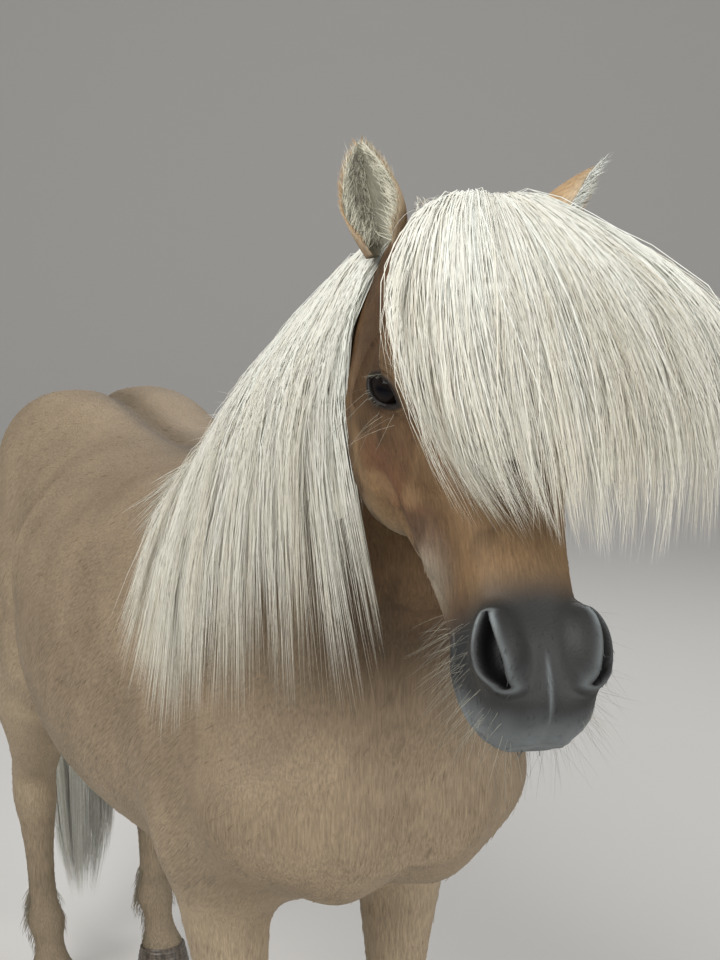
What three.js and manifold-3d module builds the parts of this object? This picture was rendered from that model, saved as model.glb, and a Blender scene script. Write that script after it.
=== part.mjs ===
// A Shetland pony standing square, its head raised and turned a little to its right.
// Millimetres. +X is forward, +Y is the pony's left, +Z is up, and the hooves stand on Z = 0.
import * as THREE from "three";
import { mergeVertices } from "three/addons/utils/BufferGeometryUtils.js";
import Module from "manifold-3d";

const wasm = await Module();
wasm.setup();

// Driving sizes. The tables below are for a pony 1000 mm high at the withers.
const WITHERS_HEIGHT = 1000;
const TABLE_HEIGHT = 1000;
const GAP = 0.3;
const CLEARANCE = 0.6;
const FAR = 3000;

// The head's pose: where the poll is, and how the head turns from facing straight ahead.
const POLL = [386, -9, 1236];
const HEAD_TURN_DEG = -10.9;
const HEAD_DROP_DEG = 54.9;
const HEAD_TILT_DEG = -2.9;

const headPlace = new THREE.Matrix4()
  .makeTranslation(...POLL)
  .multiply(new THREE.Matrix4().makeRotationZ(THREE.MathUtils.degToRad(HEAD_TURN_DEG)))
  .multiply(new THREE.Matrix4().makeRotationX(THREE.MathUtils.degToRad(HEAD_TILT_DEG)))
  .multiply(new THREE.Matrix4().makeRotationY(THREE.MathUtils.degToRad(HEAD_DROP_DEG)));
const headInverse = headPlace.clone().invert();

function fromHead([x, y, z]) {
  return new THREE.Vector3(x, y, z).applyMatrix4(headPlace);
}

const headTurn = new THREE.Matrix3().setFromMatrix4(headPlace);
const FORWARD = new THREE.Vector3(1, 0, 0);
const LEFT = new THREE.Vector3(0, 1, 0);
const UP = new THREE.Vector3(0, 0, 1);
const headWays = [FORWARD, LEFT, UP].map((way) => way.clone().applyMatrix3(headTurn));

// Torso along X: [x, top, belly, half width, height where it is widest].
const TORSO = [
  [-816, 860, 770, 40, 815],
  [-800, 888, 735, 76, 812],
  [-760, 922, 680, 118, 805],
  [-690, 962, 620, 140, 795],
  [-600, 984, 572, 158, 780],
  [-510, 979, 525, 180, 755],
  [-400, 961, 490, 208, 725],
  [-270, 950, 472, 218, 705],
  [-120, 963, 474, 206, 705],
  [0, 984, 484, 184, 715],
  [90, 962, 500, 166, 715],
  [170, 905, 540, 146, 705],
  [235, 800, 590, 108, 690],
  [262, 740, 620, 70, 680],
];
const TORSO_ROUNDNESS = 2.25;
const SPINE_GROOVE = { depth: 8, width: 15, from: -780, to: -260 };

// Neck between two rails: [share, crest x, crest z, throat x, throat z, half width, sideways].
const NECK = [
  [0, -60, 980, 250, 620, 136, 0],
  [0.25, 20, 1008, 286, 735, 118, 0],
  [0.5, 110, 1086, 302, 848, 100, -3],
  [0.75, 206, 1164, 270, 936, 86, -6],
  [1, 312, 1222, 264, 1020, 72, -9],
  [1.2, 384, 1224, 318, 1046, 60, -9],
];
// The neck is three chains of rods: [share of the depth, share of the half width as radius].
const NECK_CHAINS = [
  [0, 0.42],
  [0.46, 0.94],
  [1, 0.6],
];
const NECK_BLEND = 34;
const NECK_PIVOT = [420, 606];

// Head along its own axis: [from poll, top, underside, half width, height where it is widest].
const HEAD = [
  [-14, -30, -70, 34, -50],
  [0, -6, -112, 58, -55],
  [30, 4, -154, 72, -55],
  [70, 7, -184, 80, -58],
  [110, 5, -202, 86, -64],
  [140, 1, -204, 83, -66],
  [170, -3, -196, 74, -72],
  [200, -8, -182, 68, -78],
  [250, -15, -152, 62, -78],
  [300, -19, -126, 54, -74],
  [340, -19, -116, 50, -74],
  [370, -19, -119, 52, -79],
  [400, -26, -114, 48, -77],
  [420, -38, -104, 39, -73],
  [434, -56, -88, 23, -72],
];
const HEAD_ROUNDNESS = 2.35;

// Legs by height: [z, x, sideways, reach forward, reach back, half width].
const FORE_LEG = [
  [30, 107, 92, 35, 36, 38],
  [52, 102, 92, 34, 35, 37],
  [64, 99, 92, 31, 33, 34],
  [78, 94, 92, 26, 29, 28],
  [100, 86, 92, 24, 29, 26],
  [126, 79, 92, 28, 35, 31],
  [158, 76, 92, 22, 31, 24],
  [220, 75, 93, 22, 31, 23],
  [268, 75, 94, 28, 31, 29],
  [304, 76, 95, 36, 32, 36],
  [342, 74, 97, 32, 33, 33],
  [400, 70, 101, 38, 43, 38],
  [470, 66, 106, 50, 58, 47],
  [540, 62, 110, 66, 74, 54],
  [600, 62, 112, 78, 84, 56],
];
const HIND_LEG = [
  [30, -693, 92, 35, 36, 37],
  [52, -698, 92, 34, 35, 36],
  [64, -703, 92, 31, 33, 33],
  [78, -710, 92, 26, 29, 28],
  [100, -718, 92, 25, 30, 26],
  [126, -730, 92, 29, 37, 32],
  [158, -738, 93, 24, 33, 25],
  [220, -744, 94, 23, 33, 24],
  [280, -748, 95, 30, 39, 29],
  [330, -748, 97, 42, 50, 36],
  [372, -738, 99, 42, 64, 35],
  [402, -716, 102, 46, 66, 37],
  [450, -684, 107, 58, 58, 47],
  [520, -652, 113, 86, 74, 60],
  [590, -636, 113, 112, 94, 66],
  [650, -636, 111, 124, 106, 69],
];

// Muscles on both sides, as tapered rods and as rounded masses, each with the width of its blend.
const MUSCLES = [
  { from: [0, 66, 925], to: [182, 118, 672], r: [42, 64], blend: 60 },
  { from: [194, 112, 650], to: [84, 124, 590], r: [52, 54], blend: 44 },
  { at: [50, 126, 665], radii: [98, 54, 108], blend: 50 },
  { at: [222, 52, 662], radii: [62, 62, 100], blend: 50 },
  { at: [-610, 72, 880], radii: [150, 84, 104], blend: 60 },
  { from: [-600, 100, 760], to: [-560, 110, 610], r: [76, 62], blend: 50 },
  { from: [-752, 70, 840], to: [-704, 94, 650], r: [60, 60], blend: 50 },
  { from: [-704, 94, 650], to: [-684, 106, 520], r: [60, 46], blend: 40 },
];
const HOLLOWS = [
  { at: [-498, 240, 735], radii: [52, 62, 170], blend: 40 },
  { at: [-350, 60, 396], radii: [240, 260, 60], blend: 30 },
];

// Masses and hollows of the head, in the head's own frame and on both sides.
const HEAD_MASSES = [
  { at: [132, 50, -124], radii: [98, 42, 78], blend: 22 },
  { at: [128, 62, -36], radii: [42, 24, 26], blend: 18 },
  { from: [176, 66, -76], to: [262, 43, -78], r: [13, 8], blend: 18 },
  { at: [371, 35, -32], radii: [35, 22, 23], blend: 12 },
  { at: [404, 14, -56], radii: [31, 30, 28], blend: 16 },
  { at: [385, 9, -94], radii: [31, 30, 18], blend: 10 },
];
const HEAD_HOLLOWS = [
  { at: [88, 94, -34], radii: [26, 12, 18], blend: 14 },
  { at: [296, 60, -50], radii: [56, 14, 16], blend: 18 },
];

const NECK_CUT_SHARE = 0.22;
const HEAD_CUT_SHARE = 1;
const JAW_CUT = -214;
const CAST_MARGIN = 60;
const HEAD_MARGIN = 12;
const LEG_BOX = {
  fore: { along: [-42, 168], inner: 38, top: 548 },
  hind: { along: [-900, -490], inner: 6, top: 600 },
};
const CORONET = { height: 56, slope: 0.2 };
// A hoof's height and how much further it reaches than the coronet: [z, toe, heel, side].
const HOOF = [
  [0, 21, 3, 8],
  [5, 22, 4, 9],
  [34, 10, 3, 5],
  [74, -4, -2, -3],
];

// The eye and its lids, the nostrils and the mouth, in the head's own frame.
const EYE = {
  centre: [135, 68.5, -60],
  out: [0.5, 0.73, 0.46],
  along: [0.68, -0.66, 0.32],
  radius: 22,
  lid: 2.6,
  reach: 18.5,
  rise: 11,
  fall: 8.5,
};
// A nostril's middle line with its half width and half depth, and the tunnel behind it.
const NOSTRIL = {
  line: [
    [348, 41, -21, 2, 6],
    [361, 42, -21, 6, 12],
    [375, 41, -23, 9, 15],
    [388, 37, -26, 9, 15],
    [401, 29, -29, 4, 8],
  ],
  out: [0.25, 0.8, 0.55],
  tunnel: { from: [384, 35, -27], to: [360, 19, -44], r: [8, 6] },
};
const MOUTH = { corner: 338, cornerHeight: -72, middle: 385, height: -80, radius: 2.6 };

// The ears' bases and tips and the way each opens, in the head's own frame.
const EARS = {
  "-1": { base: [10, -60, -54], tip: [-74, -86, -15], open: [0.5, -0.55, 0.66] },
  1: { base: [12, 62, -54], tip: [-47, 124, 6], open: [0.3, 0.85, 0.42] },
};
// An ear's form from base to tip: [share, radius, half the wrap in degrees, shift to the opening].
const EAR_FORM = [
  [0, 19, 150, 0],
  [0.15, 23, 138, 1],
  [0.35, 27, 112, 4],
  [0.55, 26, 96, 6],
  [0.75, 20, 84, 5],
  [0.9, 11, 72, 1],
  [1, 3, 60, -3],
];
const EAR_SHELL = 4.5;
const EAR_PLUG = 0.06;

// Guide lines of the hair, each from the root to the tip. The forelock is in the head's frame.
const HAIR_PARTING = -12;
const FORELOCK = [
  [
    [22, -14, -18],
    [20, -38, 20],
    [50, -70, 36],
    [98, -92, 40],
    [150, -97, 38],
    [205, -84, 30],
    [258, -58, 18],
    [296, -34, 10],
  ],
  [
    [16, -8, -18],
    [14, -20, 24],
    [50, -42, 44],
    [110, -58, 56],
    [165, -65, 60],
    [220, -62, 54],
    [266, -46, 40],
    [304, -12, 22],
  ],
  [
    [10, 0, -18],
    [14, 2, 20],
    [50, 4, 40],
    [106, 8, 56],
    [166, 12, 64],
    [226, 14, 62],
    [282, 16, 50],
    [330, 16, 38],
  ],
  [
    [6, 8, -18],
    [10, 22, 18],
    [42, 52, 30],
    [94, 82, 42],
    [152, 96, 50],
    [222, 98, 52],
    [286, 90, 48],
    [340, 74, 42],
  ],
  [
    [2, 14, -18],
    [4, 40, 12],
    [32, 94, 18],
    [72, 148, 26],
    [120, 184, 30],
    [180, 194, 30],
    [242, 188, 26],
    [300, 166, 22],
  ],
].map((guide) => guide.map((p) => fromHead(p).toArray()));
const MANE_RIGHT = [
  [
    [352, -12, 1196],
    [346, -24, 1239],
    [328, -60, 1206],
    [310, -95, 1106],
    [318, -108, 1020],
    [342, -102, 920],
    [374, -88, 800],
  ],
  [
    [236, -8, 1140],
    [230, -26, 1189],
    [214, -66, 1150],
    [200, -116, 1070],
    [206, -142, 990],
    [220, -160, 890],
    [240, -172, 765],
  ],
  [
    [122, -4, 1050],
    [114, -28, 1105],
    [100, -76, 1072],
    [100, -130, 1000],
    [112, -164, 915],
    [128, -188, 830],
    [144, -205, 725],
  ],
  [
    [16, 0, 985],
    [14, -26, 1033],
    [34, -76, 1016],
    [44, -130, 985],
    [56, -165, 909],
    [62, -190, 830],
    [28, -204, 764],
  ],
];
const MANE_LEFT = [
  [
    [352, -6, 1196],
    [350, 6, 1234],
    [336, 42, 1206],
    [322, 78, 1120],
    [318, 92, 1040],
    [322, 98, 960],
    [332, 98, 870],
  ],
  [
    [236, -4, 1140],
    [234, 16, 1184],
    [226, 60, 1156],
    [214, 104, 1080],
    [222, 124, 1000],
    [232, 138, 920],
    [246, 148, 830],
  ],
  [
    [122, 0, 1050],
    [118, 22, 1100],
    [110, 74, 1074],
    [116, 124, 1000],
    [128, 150, 930],
    [140, 168, 860],
    [152, 182, 780],
  ],
  [
    [16, 4, 985],
    [14, 26, 1028],
    [26, 76, 1012],
    [44, 130, 960],
    [54, 162, 894],
    [62, 184, 830],
    [60, 198, 780],
  ],
];
const TAIL_LINE = [
  [-758, 0, 872],
  [-812, 0, 872],
  [-843, 2, 822],
  [-856, 4, 700],
  [-862, 8, 520],
  [-868, 12, 340],
  [-868, 12, 180],
  [-864, 8, 70],
];
// The tail's half width and half depth from dock to tip.
const TAIL_FORM = [
  [0, 30, 24],
  [0.15, 43, 32],
  [0.4, 68, 40],
  [0.65, 80, 42],
  [0.85, 64, 34],
  [1, 26, 14],
];

// Locks of hair: how many lie in each of the layers, half width and half depth, and how they vary.
const MANE_LOCKS = { layers: 2, count: 9, half: 22, thick: 6, lift: 9, drift: 0.1, uneven: 0.16 };
const LEFT_LOCKS = { layers: 1, count: 9, half: 22, thick: 6, lift: 8, drift: 0.08, uneven: 0.2 };
const FORELOCK_LOCKS = { layers: 2, count: 9, half: 21, thick: 6, lift: 10, drift: 0.1, uneven: 0.2 };
const TAIL_LOCKS = { count: 11, half: 24, thick: 10, drift: 0.5, uneven: 0.22 };
// A lock from root to tip: [share, share of the half width, share of the half depth].
const LOCK_FORM = [
  [0, 0.6, 0.7],
  [0.2, 0.9, 1],
  [0.5, 1, 1],
  [0.8, 0.62, 0.7],
  [1, 0.1, 0.25],
];
const FAN_FORM = [
  [0, 0.3, 0.8],
  [0.2, 0.55, 1],
  [0.55, 1, 1],
  [0.82, 0.66, 0.7],
  [1, 0.1, 0.25],
];
const LOCK_RINGS = 6;

const COLOURS = {
  coat: [0.56, 0.4, 0.27],
  face: [0.42, 0.25, 0.15],
  hair: [0.86, 0.83, 0.76],
  hoof: [0.2, 0.17, 0.15],
  eye: [0.015, 0.012, 0.012],
};

// Reads a table of rows [at, ...values] between its rows, along smooth curves.
function read(rows, at) {
  const last = rows.length - 1;
  const place = Math.min(Math.max(at, rows[0][0]), rows[last][0]);
  let i = 0;
  while (i < last - 1 && place > rows[i + 1][0]) i += 1;
  const width = rows[i + 1][0] - rows[i][0];
  const t = (place - rows[i][0]) / width;
  return rows[0].slice(1).map((_, column) => {
    const k = column + 1;
    const slope = (j) => {
      const a = Math.max(j - 1, 0);
      const b = Math.min(j + 1, last);
      return (rows[b][k] - rows[a][k]) / (rows[b][0] - rows[a][0]);
    };
    const [p, q, m, n] = [rows[i][k], rows[i + 1][k], slope(i) * width, slope(i + 1) * width];
    return p + t * m + t * t * (3 * (q - p) - 2 * m - n) + t * t * t * (2 * (p - q) + m + n);
  });
}

function blend(a, b, width) {
  const share = Math.max(width - Math.abs(a - b), 0) / width;
  return Math.min(a, b) - (share * share * width) / 4;
}

function carve(a, b, width) {
  return -blend(-a, b, width);
}

// Distance from a rounded outline of the given reaches, along the line from its centre.
function outlineDistance(across, along, reachAcross, reachAlong, roundness) {
  const u = Math.abs(across) / reachAcross;
  const v = Math.abs(along) / reachAlong;
  const r = (u ** roundness + v ** roundness) ** (1 / roundness);
  if (r < 1e-6) return -Math.min(reachAcross, reachAlong);
  return Math.hypot(across, along) * (1 - 1 / r);
}

// Distance from a tapered rod or from a rounded mass.
function massDistance(mass, x, y, z) {
  if (mass.at) {
    const [dx, dy, dz] = [x - mass.at[0], y - mass.at[1], z - mass.at[2]];
    const [a, b, c] = mass.radii;
    const near = Math.hypot(dx / a, dy / b, dz / c);
    const steep = Math.hypot(dx / (a * a), dy / (b * b), dz / (c * c));
    return steep < 1e-9 ? -Math.min(a, b, c) : (near * (near - 1)) / steep;
  }
  const axis = mass.to.map((v, i) => v - mass.from[i]);
  const away = [x - mass.from[0], y - mass.from[1], z - mass.from[2]];
  const long = axis[0] ** 2 + axis[1] ** 2 + axis[2] ** 2;
  const dot = axis[0] * away[0] + axis[1] * away[1] + axis[2] * away[2];
  const t = Math.min(Math.max(dot / long, 0), 1);
  const off = Math.hypot(away[0] - axis[0] * t, away[1] - axis[1] * t, away[2] - axis[2] * t);
  return off - (mass.r[0] + (mass.r[1] - mass.r[0]) * t);
}

// Distance from a body drawn as outlines along one axis: [at, top, underside, half width, widest].
function loftDistance(rows, roundness, at, side, up) {
  const [top, under, half, widest] = read(rows, at);
  const reach = up > widest ? top - widest : widest - under;
  const off = outlineDistance(side, up - widest, half, reach, roundness);
  return Math.max(off, rows[0][0] - at, at - rows[rows.length - 1][0]);
}

function legDistance(rows, x, side, z) {
  const [cx, cy, forward, back, half] = read(rows, z);
  const off = outlineDistance(side - cy, x - cx, half, x > cx ? forward : back, 2);
  return Math.max(off, rows[0][0] - z, z - rows[rows.length - 1][0]);
}

const neckRods = NECK_CHAINS.flatMap(([share, thick]) => {
  const joints = [0, 0.25, 0.5, 0.75, 1].map((at) => {
    const [cx, cz, vx, vz, half, sideways] = read(NECK, at);
    const r = thick * half;
    const depth = Math.hypot(vx - cx, vz - cz);
    const down = Math.min(Math.max(share * depth, r), depth - r) / depth;
    return { at: [cx + (vx - cx) * down, sideways, cz + (vz - cz) * down], r };
  });
  return joints.slice(1).map((to, i) => ({ from: joints[i].at, to: to.at, r: [joints[i].r, to.r] }));
});

function neckDistance(x, y, z) {
  return neckRods.reduce((d, rod) => blend(d, massDistance(rod, x, y, z), NECK_BLEND), FAR);
}

function headDistance(p) {
  const q = p.clone().applyMatrix4(headInverse);
  const side = Math.abs(q.y);
  let d = loftDistance(HEAD, HEAD_ROUNDNESS, q.x, side, q.z);
  for (const m of HEAD_MASSES) d = blend(d, massDistance(m, q.x, side, q.z), m.blend);
  for (const h of HEAD_HOLLOWS) d = carve(d, massDistance(h, q.x, side, q.z), h.blend);
  return d;
}

function torsoDistance(p) {
  const side = Math.abs(p.y);
  let d = loftDistance(TORSO, TORSO_ROUNDNESS, p.x, side, p.z);
  for (const m of MUSCLES) d = blend(d, massDistance(m, p.x, side, p.z), m.blend);
  d = blend(d, legDistance(FORE_LEG, p.x, side, p.z), 40);
  d = blend(d, legDistance(HIND_LEG, p.x, side, p.z), 40);
  for (const h of HOLLOWS) d = carve(d, massDistance(h, p.x, side, p.z), h.blend);
  const { depth, width, from, to } = SPINE_GROOVE;
  const inGroove = p.z > 760 && p.x > from && p.x < to;
  return inGroove ? d + depth * Math.exp(-((p.y / width) ** 2)) : d;
}

// The whole flesh of the pony: negative inside, positive outside.
function fleshDistance(p) {
  let d = torsoDistance(p);
  if (p.x > -200) d = blend(d, neckDistance(p.x, p.y, p.z), 55);
  if (p.z > 780) d = blend(d, headDistance(p), 26);
  return d;
}

// The distance along a line at which the flesh, or the given limit, ends.
function reachOf(centre, direction, grow, limit) {
  const at = new THREE.Vector3();
  const field = (r) => {
    at.copy(direction).multiplyScalar(r).add(centre);
    return Math.max(fleshDistance(at) - grow, limit ? limit(at) : -FAR);
  };
  let far = 6;
  while (field(far) < 0 && far < 600) far += 9;
  let near = far - 9;
  for (let i = 0; i < 14; i += 1) {
    const middle = (near + far) / 2;
    if (field(middle) < 0) near = middle;
    else far = middle;
  }
  return Math.max(near, 1.5);
}

function toSolid(geometry) {
  const bare = geometry.clone();
  bare.deleteAttribute("normal");
  bare.deleteAttribute("uv");
  const merged = mergeVertices(bare, 1e-4);
  const vertProperties = new Float32Array(merged.attributes.position.array);
  const triVerts = new Uint32Array(merged.index.array);
  const solid = new wasm.Manifold(new wasm.Mesh({ numProp: 3, vertProperties, triVerts }));
  if (solid.volume() > 0) return solid;
  for (let i = 0; i < triVerts.length; i += 3) {
    [triVerts[i + 1], triVerts[i + 2]] = [triVerts[i + 2], triVerts[i + 1]];
  }
  return new wasm.Manifold(new wasm.Mesh({ numProp: 3, vertProperties, triVerts }));
}

function closedSolid(points, faces) {
  return toSolid(new THREE.BufferGeometry().setFromPoints(points).setIndex(faces));
}

// A closed solid through rings of points, all with the same count, with a point over each end.
function ringSolid(rings, first, last) {
  const count = rings[0].length;
  const points = [...rings.flat(), first, last];
  const faces = [];
  for (let r = 0; r + 1 < rings.length; r += 1) {
    for (let i = 0; i < count; i += 1) {
      const j = (i + 1) % count;
      const [a, b, c, d] = [r * count + i, r * count + j, (r + 1) * count + i, (r + 1) * count + j];
      if (points[a].distanceToSquared(points[d]) < points[b].distanceToSquared(points[c])) {
        faces.push(a, b, d, a, d, c);
      } else faces.push(a, b, c, b, d, c);
    }
  }
  const end = (rings.length - 1) * count;
  for (let i = 0; i < count; i += 1) {
    const j = (i + 1) % count;
    faces.push(points.length - 2, j, i, points.length - 1, end + i, end + j);
  }
  return closedSolid(points, faces);
}

// A sheet between two grids of points of one size, split into triangles alike on both faces.
function sheetSolid(outer, inner) {
  const [rows, columns] = [outer.length, outer[0].length];
  const points = [...outer.flat(), ...inner.flat()];
  const shift = rows * columns;
  const faces = [];
  const quad = (a, b, c, d) => faces.push(a, b, c, b, d, c);
  for (let r = 0; r < rows; r += 1) {
    for (let c = 0; c < columns; c += 1) {
      const a = r * columns + c;
      if (r + 1 < rows && c + 1 < columns) {
        quad(a, a + 1, a + columns, a + columns + 1);
        const [p, q, m, n] = [a, a + 1, a + columns, a + columns + 1].map((i) => i + shift);
        faces.push(p, m, q, q, m, n);
      }
      if (c + 1 < columns && r === 0) quad(a + shift, a + 1 + shift, a, a + 1);
      if (c + 1 < columns && r === rows - 1) quad(a, a + 1, a + shift, a + 1 + shift);
      if (r + 1 < rows && c === 0) quad(a, a + columns, a + shift, a + columns + shift);
      if (r + 1 < rows && c === columns - 1) quad(a + shift, a + columns + shift, a, a + columns);
    }
  }
  return closedSolid(points, faces);
}

// A tube along a path: its section is half a width across and half a depth along the given way out.
function tubeSolid(path, width, depth, out, sides) {
  const last = path.length - 1;
  const along = (i) => path[Math.min(i + 1, last)].clone().sub(path[Math.max(i - 1, 0)]).normalize();
  const rings = path.map((centre, i) => {
    const direction = along(i);
    const across = direction.clone().cross(out(i)).normalize();
    const up = across.clone().cross(direction).normalize();
    return Array.from({ length: sides }, (_, k) => {
      const angle = (2 * Math.PI * k) / sides;
      return centre
        .clone()
        .addScaledVector(across, width(i / last) * Math.cos(angle))
        .addScaledVector(up, depth(i / last) * Math.sin(angle));
    });
  });
  const end = (i, sign) => path[i].clone().addScaledVector(along(i), sign * 0.4 * depth(i / last));
  return ringSolid(rings, end(0, -1), end(last, 1));
}

// A tapered rod with round ends.
function rodSolid(from, to, r0, r1, sides) {
  const axis = to.clone().sub(from);
  const place = (share) => from.clone().addScaledVector(axis, share);
  const [a, b] = [r0 / axis.length(), r1 / axis.length()];
  const path = [-0.7 * a, 0, 1, 1 + 0.7 * b].map(place);
  const radii = [0.7 * r0, r0, r1, 0.7 * r1];
  const radius = (share) => radii[Math.round(share * 3)];
  const out = new THREE.Vector3(axis.y, axis.z, axis.x).cross(axis).normalize();
  return tubeSolid(path, radius, radius, () => out, sides);
}

// The box-shaped half of space that lies on the side the normal points to.
function halfSpace(point, normal) {
  const box = new THREE.BoxGeometry(FAR, FAR, FAR);
  const way = normal.clone().normalize();
  box.translate(0, 0, FAR / 2);
  box.applyQuaternion(new THREE.Quaternion().setFromUnitVectors(UP, way));
  box.translate(point.x, point.y, point.z);
  return toSolid(box);
}

function boxSolid(low, high) {
  const box = new THREE.BoxGeometry(high[0] - low[0], high[1] - low[1], high[2] - low[2]);
  box.translate((high[0] + low[0]) / 2, (high[1] + low[1]) / 2, (high[2] + low[2]) / 2);
  return toSolid(box);
}

function largest(solid) {
  const pieces = solid.decompose();
  return pieces.reduce((best, piece) => (piece.volume() > best.volume() ? piece : best));
}

function joined(solids) {
  return wasm.Manifold.union(solids);
}

function toMesh(name, solid, slot, roughness) {
  const mesh = largest(solid).getMesh();
  const geometry = new THREE.BufferGeometry();
  const positions = new Float32Array(mesh.numVert * 3);
  for (let i = 0; i < mesh.numVert; i += 1) {
    const from = i * mesh.numProp;
    positions.set(mesh.vertProperties.subarray(from, from + 3), i * 3);
  }
  geometry.setAttribute("position", new THREE.BufferAttribute(positions, 3));
  geometry.setIndex(new THREE.BufferAttribute(mesh.triVerts, 1));
  geometry.computeVertexNormals();
  const color = new THREE.Color().setRGB(...COLOURS[slot], THREE.LinearSRGBColorSpace);
  const made = new THREE.Mesh(
    geometry,
    new THREE.MeshStandardMaterial({ color, roughness, metalness: 0 }),
  );
  made.name = name;
  return made;
}

// Where lines from a station's centre leave the flesh. They fan out evenly over its reaches,
// and lean along its axis by its lean.
function castRing(station, count, grow, limit) {
  const { centre, across, up, reaches, lean } = station;
  const axis = across.clone().cross(up);
  return Array.from({ length: count }, (_, i) => {
    const angle = (2 * Math.PI * (i + 0.5)) / count;
    const direction = across
      .clone()
      .multiplyScalar(reaches[0] * Math.cos(angle))
      .addScaledVector(up, reaches[1] * Math.sin(angle))
      .normalize()
      .multiplyScalar(Math.cos(lean))
      .addScaledVector(axis, Math.sin(lean));
    const r = reachOf(centre, direction, grow, limit);
    return centre.clone().addScaledVector(direction, r);
  });
}

// A solid cast from a row of stations. Each end is a dome of rings that lean out, or is left
// as it is where a cut follows.
function castSolid(stations, count, grow, limit, domes) {
  const level = stations.map((s) => ({ lean: 0, ...s }));
  const leans = [18, 36, 54, 72].map(THREE.MathUtils.degToRad);
  const [first, last] = [level[0], level[level.length - 1]];
  const before = domes[0] ? leans.map((a) => ({ ...first, lean: -a })).reverse() : [];
  const after = domes[1] ? leans.map((a) => ({ ...last, lean: a })) : [];
  const rings = [...before, ...level, ...after].map((s) => castRing(s, count, grow, limit));
  const tip = (station, sign) => {
    const direction = station.across.clone().cross(station.up).multiplyScalar(sign);
    const r = reachOf(station.centre, direction, grow, limit);
    return station.centre.clone().addScaledVector(direction, r);
  };
  return ringSolid(rings, tip(first, -1), tip(last, 1));
}

function spread(low, high, count) {
  return Array.from({ length: count }, (_, i) => low + ((high - low) * i) / (count - 1));
}

function neckPlane(share) {
  const [cx, cz, vx, vz] = read(NECK, share);
  const down = new THREE.Vector3(vx - cx, 0, vz - cz).normalize();
  return {
    point: new THREE.Vector3(cx, 0, cz),
    normal: new THREE.Vector3(-down.z, 0, down.x),
  };
}

function planeDistance(plane, p) {
  return plane.normal.dot(p) - plane.normal.dot(plane.point);
}

const neckCut = neckPlane(NECK_CUT_SHARE);
const headCut = neckPlane(HEAD_CUT_SHARE);

// The head's share of the space: in front of the cut at the crest and above the one at the jaw.
function headSide(gap) {
  const front = headCut.point.clone().addScaledVector(headCut.normal, -gap);
  return halfSpace(front, headCut.normal).intersect(
    halfSpace(fromHead([0, 0, JAW_CUT - gap]), headWays[2]),
  );
}

// How far a point is outside the neck's share: negative behind the one cut or under the other.
function beyondNeck(p) {
  const overJaw = headWays[2].dot(p) - headWays[2].dot(fromHead([0, 0, JAW_CUT]));
  return Math.min(planeDistance(headCut, p), overJaw);
}

// The box round one leg, on the side that the sign gives, widened by a gap for the torso's notch.
function legBox(leg, sign, gap) {
  const [back, front] = LEG_BOX[leg].along;
  const inner = LEG_BOX[leg].inner;
  const [low, high] = sign > 0 ? [inner - gap, 300] : [-300, -inner + gap];
  return boxSolid([back - gap, low, -20], [front + gap, high, LEG_BOX[leg].top + gap]);
}

function torsoSolid(grow) {
  const stations = spread(-730, 190, 19).map((x) => {
    const [top, belly, half] = read(TORSO, x);
    const centre = new THREE.Vector3(x, 0, (top + belly) / 2 + 6);
    return { centre, across: LEFT, up: UP, reaches: [half, (top - belly) / 2] };
  });
  const limit = (p) => Math.max(planeDistance(neckCut, p) - CAST_MARGIN, 460 - p.z);
  return castSolid(stations, 28, grow, limit, [true, true]);
}

// The neck is cast in planes that fan out from a line in front of the chest.
function neckSolid(grow) {
  const pivot = new THREE.Vector3(NECK_PIVOT[0], 0, NECK_PIVOT[1]);
  const stations = spread(0.12, 1.12, 12).map((s) => {
    const [cx, cz, , , half, sideways] = read(NECK, s);
    const crest = new THREE.Vector3(cx, sideways, cz);
    const down = pivot.clone().sub(crest).setY(0).normalize();
    const start = crest.clone().addScaledVector(down, 25);
    const deep = (reachOf(start, down, 0) + 25) / 2;
    const centre = crest.addScaledVector(down, deep);
    return { centre, across: LEFT, up: down.negate(), reaches: [half, deep] };
  });
  const limit = (p) => -planeDistance(neckCut, p) - CAST_MARGIN;
  return castSolid(stations, 26, grow, limit, [false, false]);
}

function headSolid(grow) {
  const stations = spread(14, 396, 19).map((t) => {
    const [top, under, half] = read(HEAD, t);
    const centre = fromHead([t, 0, (top + under) / 2 + 4]);
    return { centre, across: headWays[1], up: headWays[2], reaches: [half, (top - under) / 2] };
  });
  const limit = (p) => -beyondNeck(p) - HEAD_MARGIN;
  return castSolid(stations, 30, grow, limit, [true, true]);
}

function legSolid(leg, sign, grow) {
  const rows = leg === "fore" ? FORE_LEG : HIND_LEG;
  const { top, along, inner } = LEG_BOX[leg];
  const stations = spread(CORONET.height - 12, top + 20, 17).map((z) => {
    const [x, y, forward, back, half] = read(rows, z);
    const centre = new THREE.Vector3(x, sign * y, z);
    return { centre, across: FORWARD, up: LEFT, reaches: [(forward + back) / 2, half] };
  });
  const limit = (p) =>
    Math.max(along[0] - 20 - p.x, p.x - along[1] - 20, inner - 5 - sign * p.y, 36 - p.z);
  return castSolid(stations, 12, grow, limit, [false, false]);
}

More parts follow.
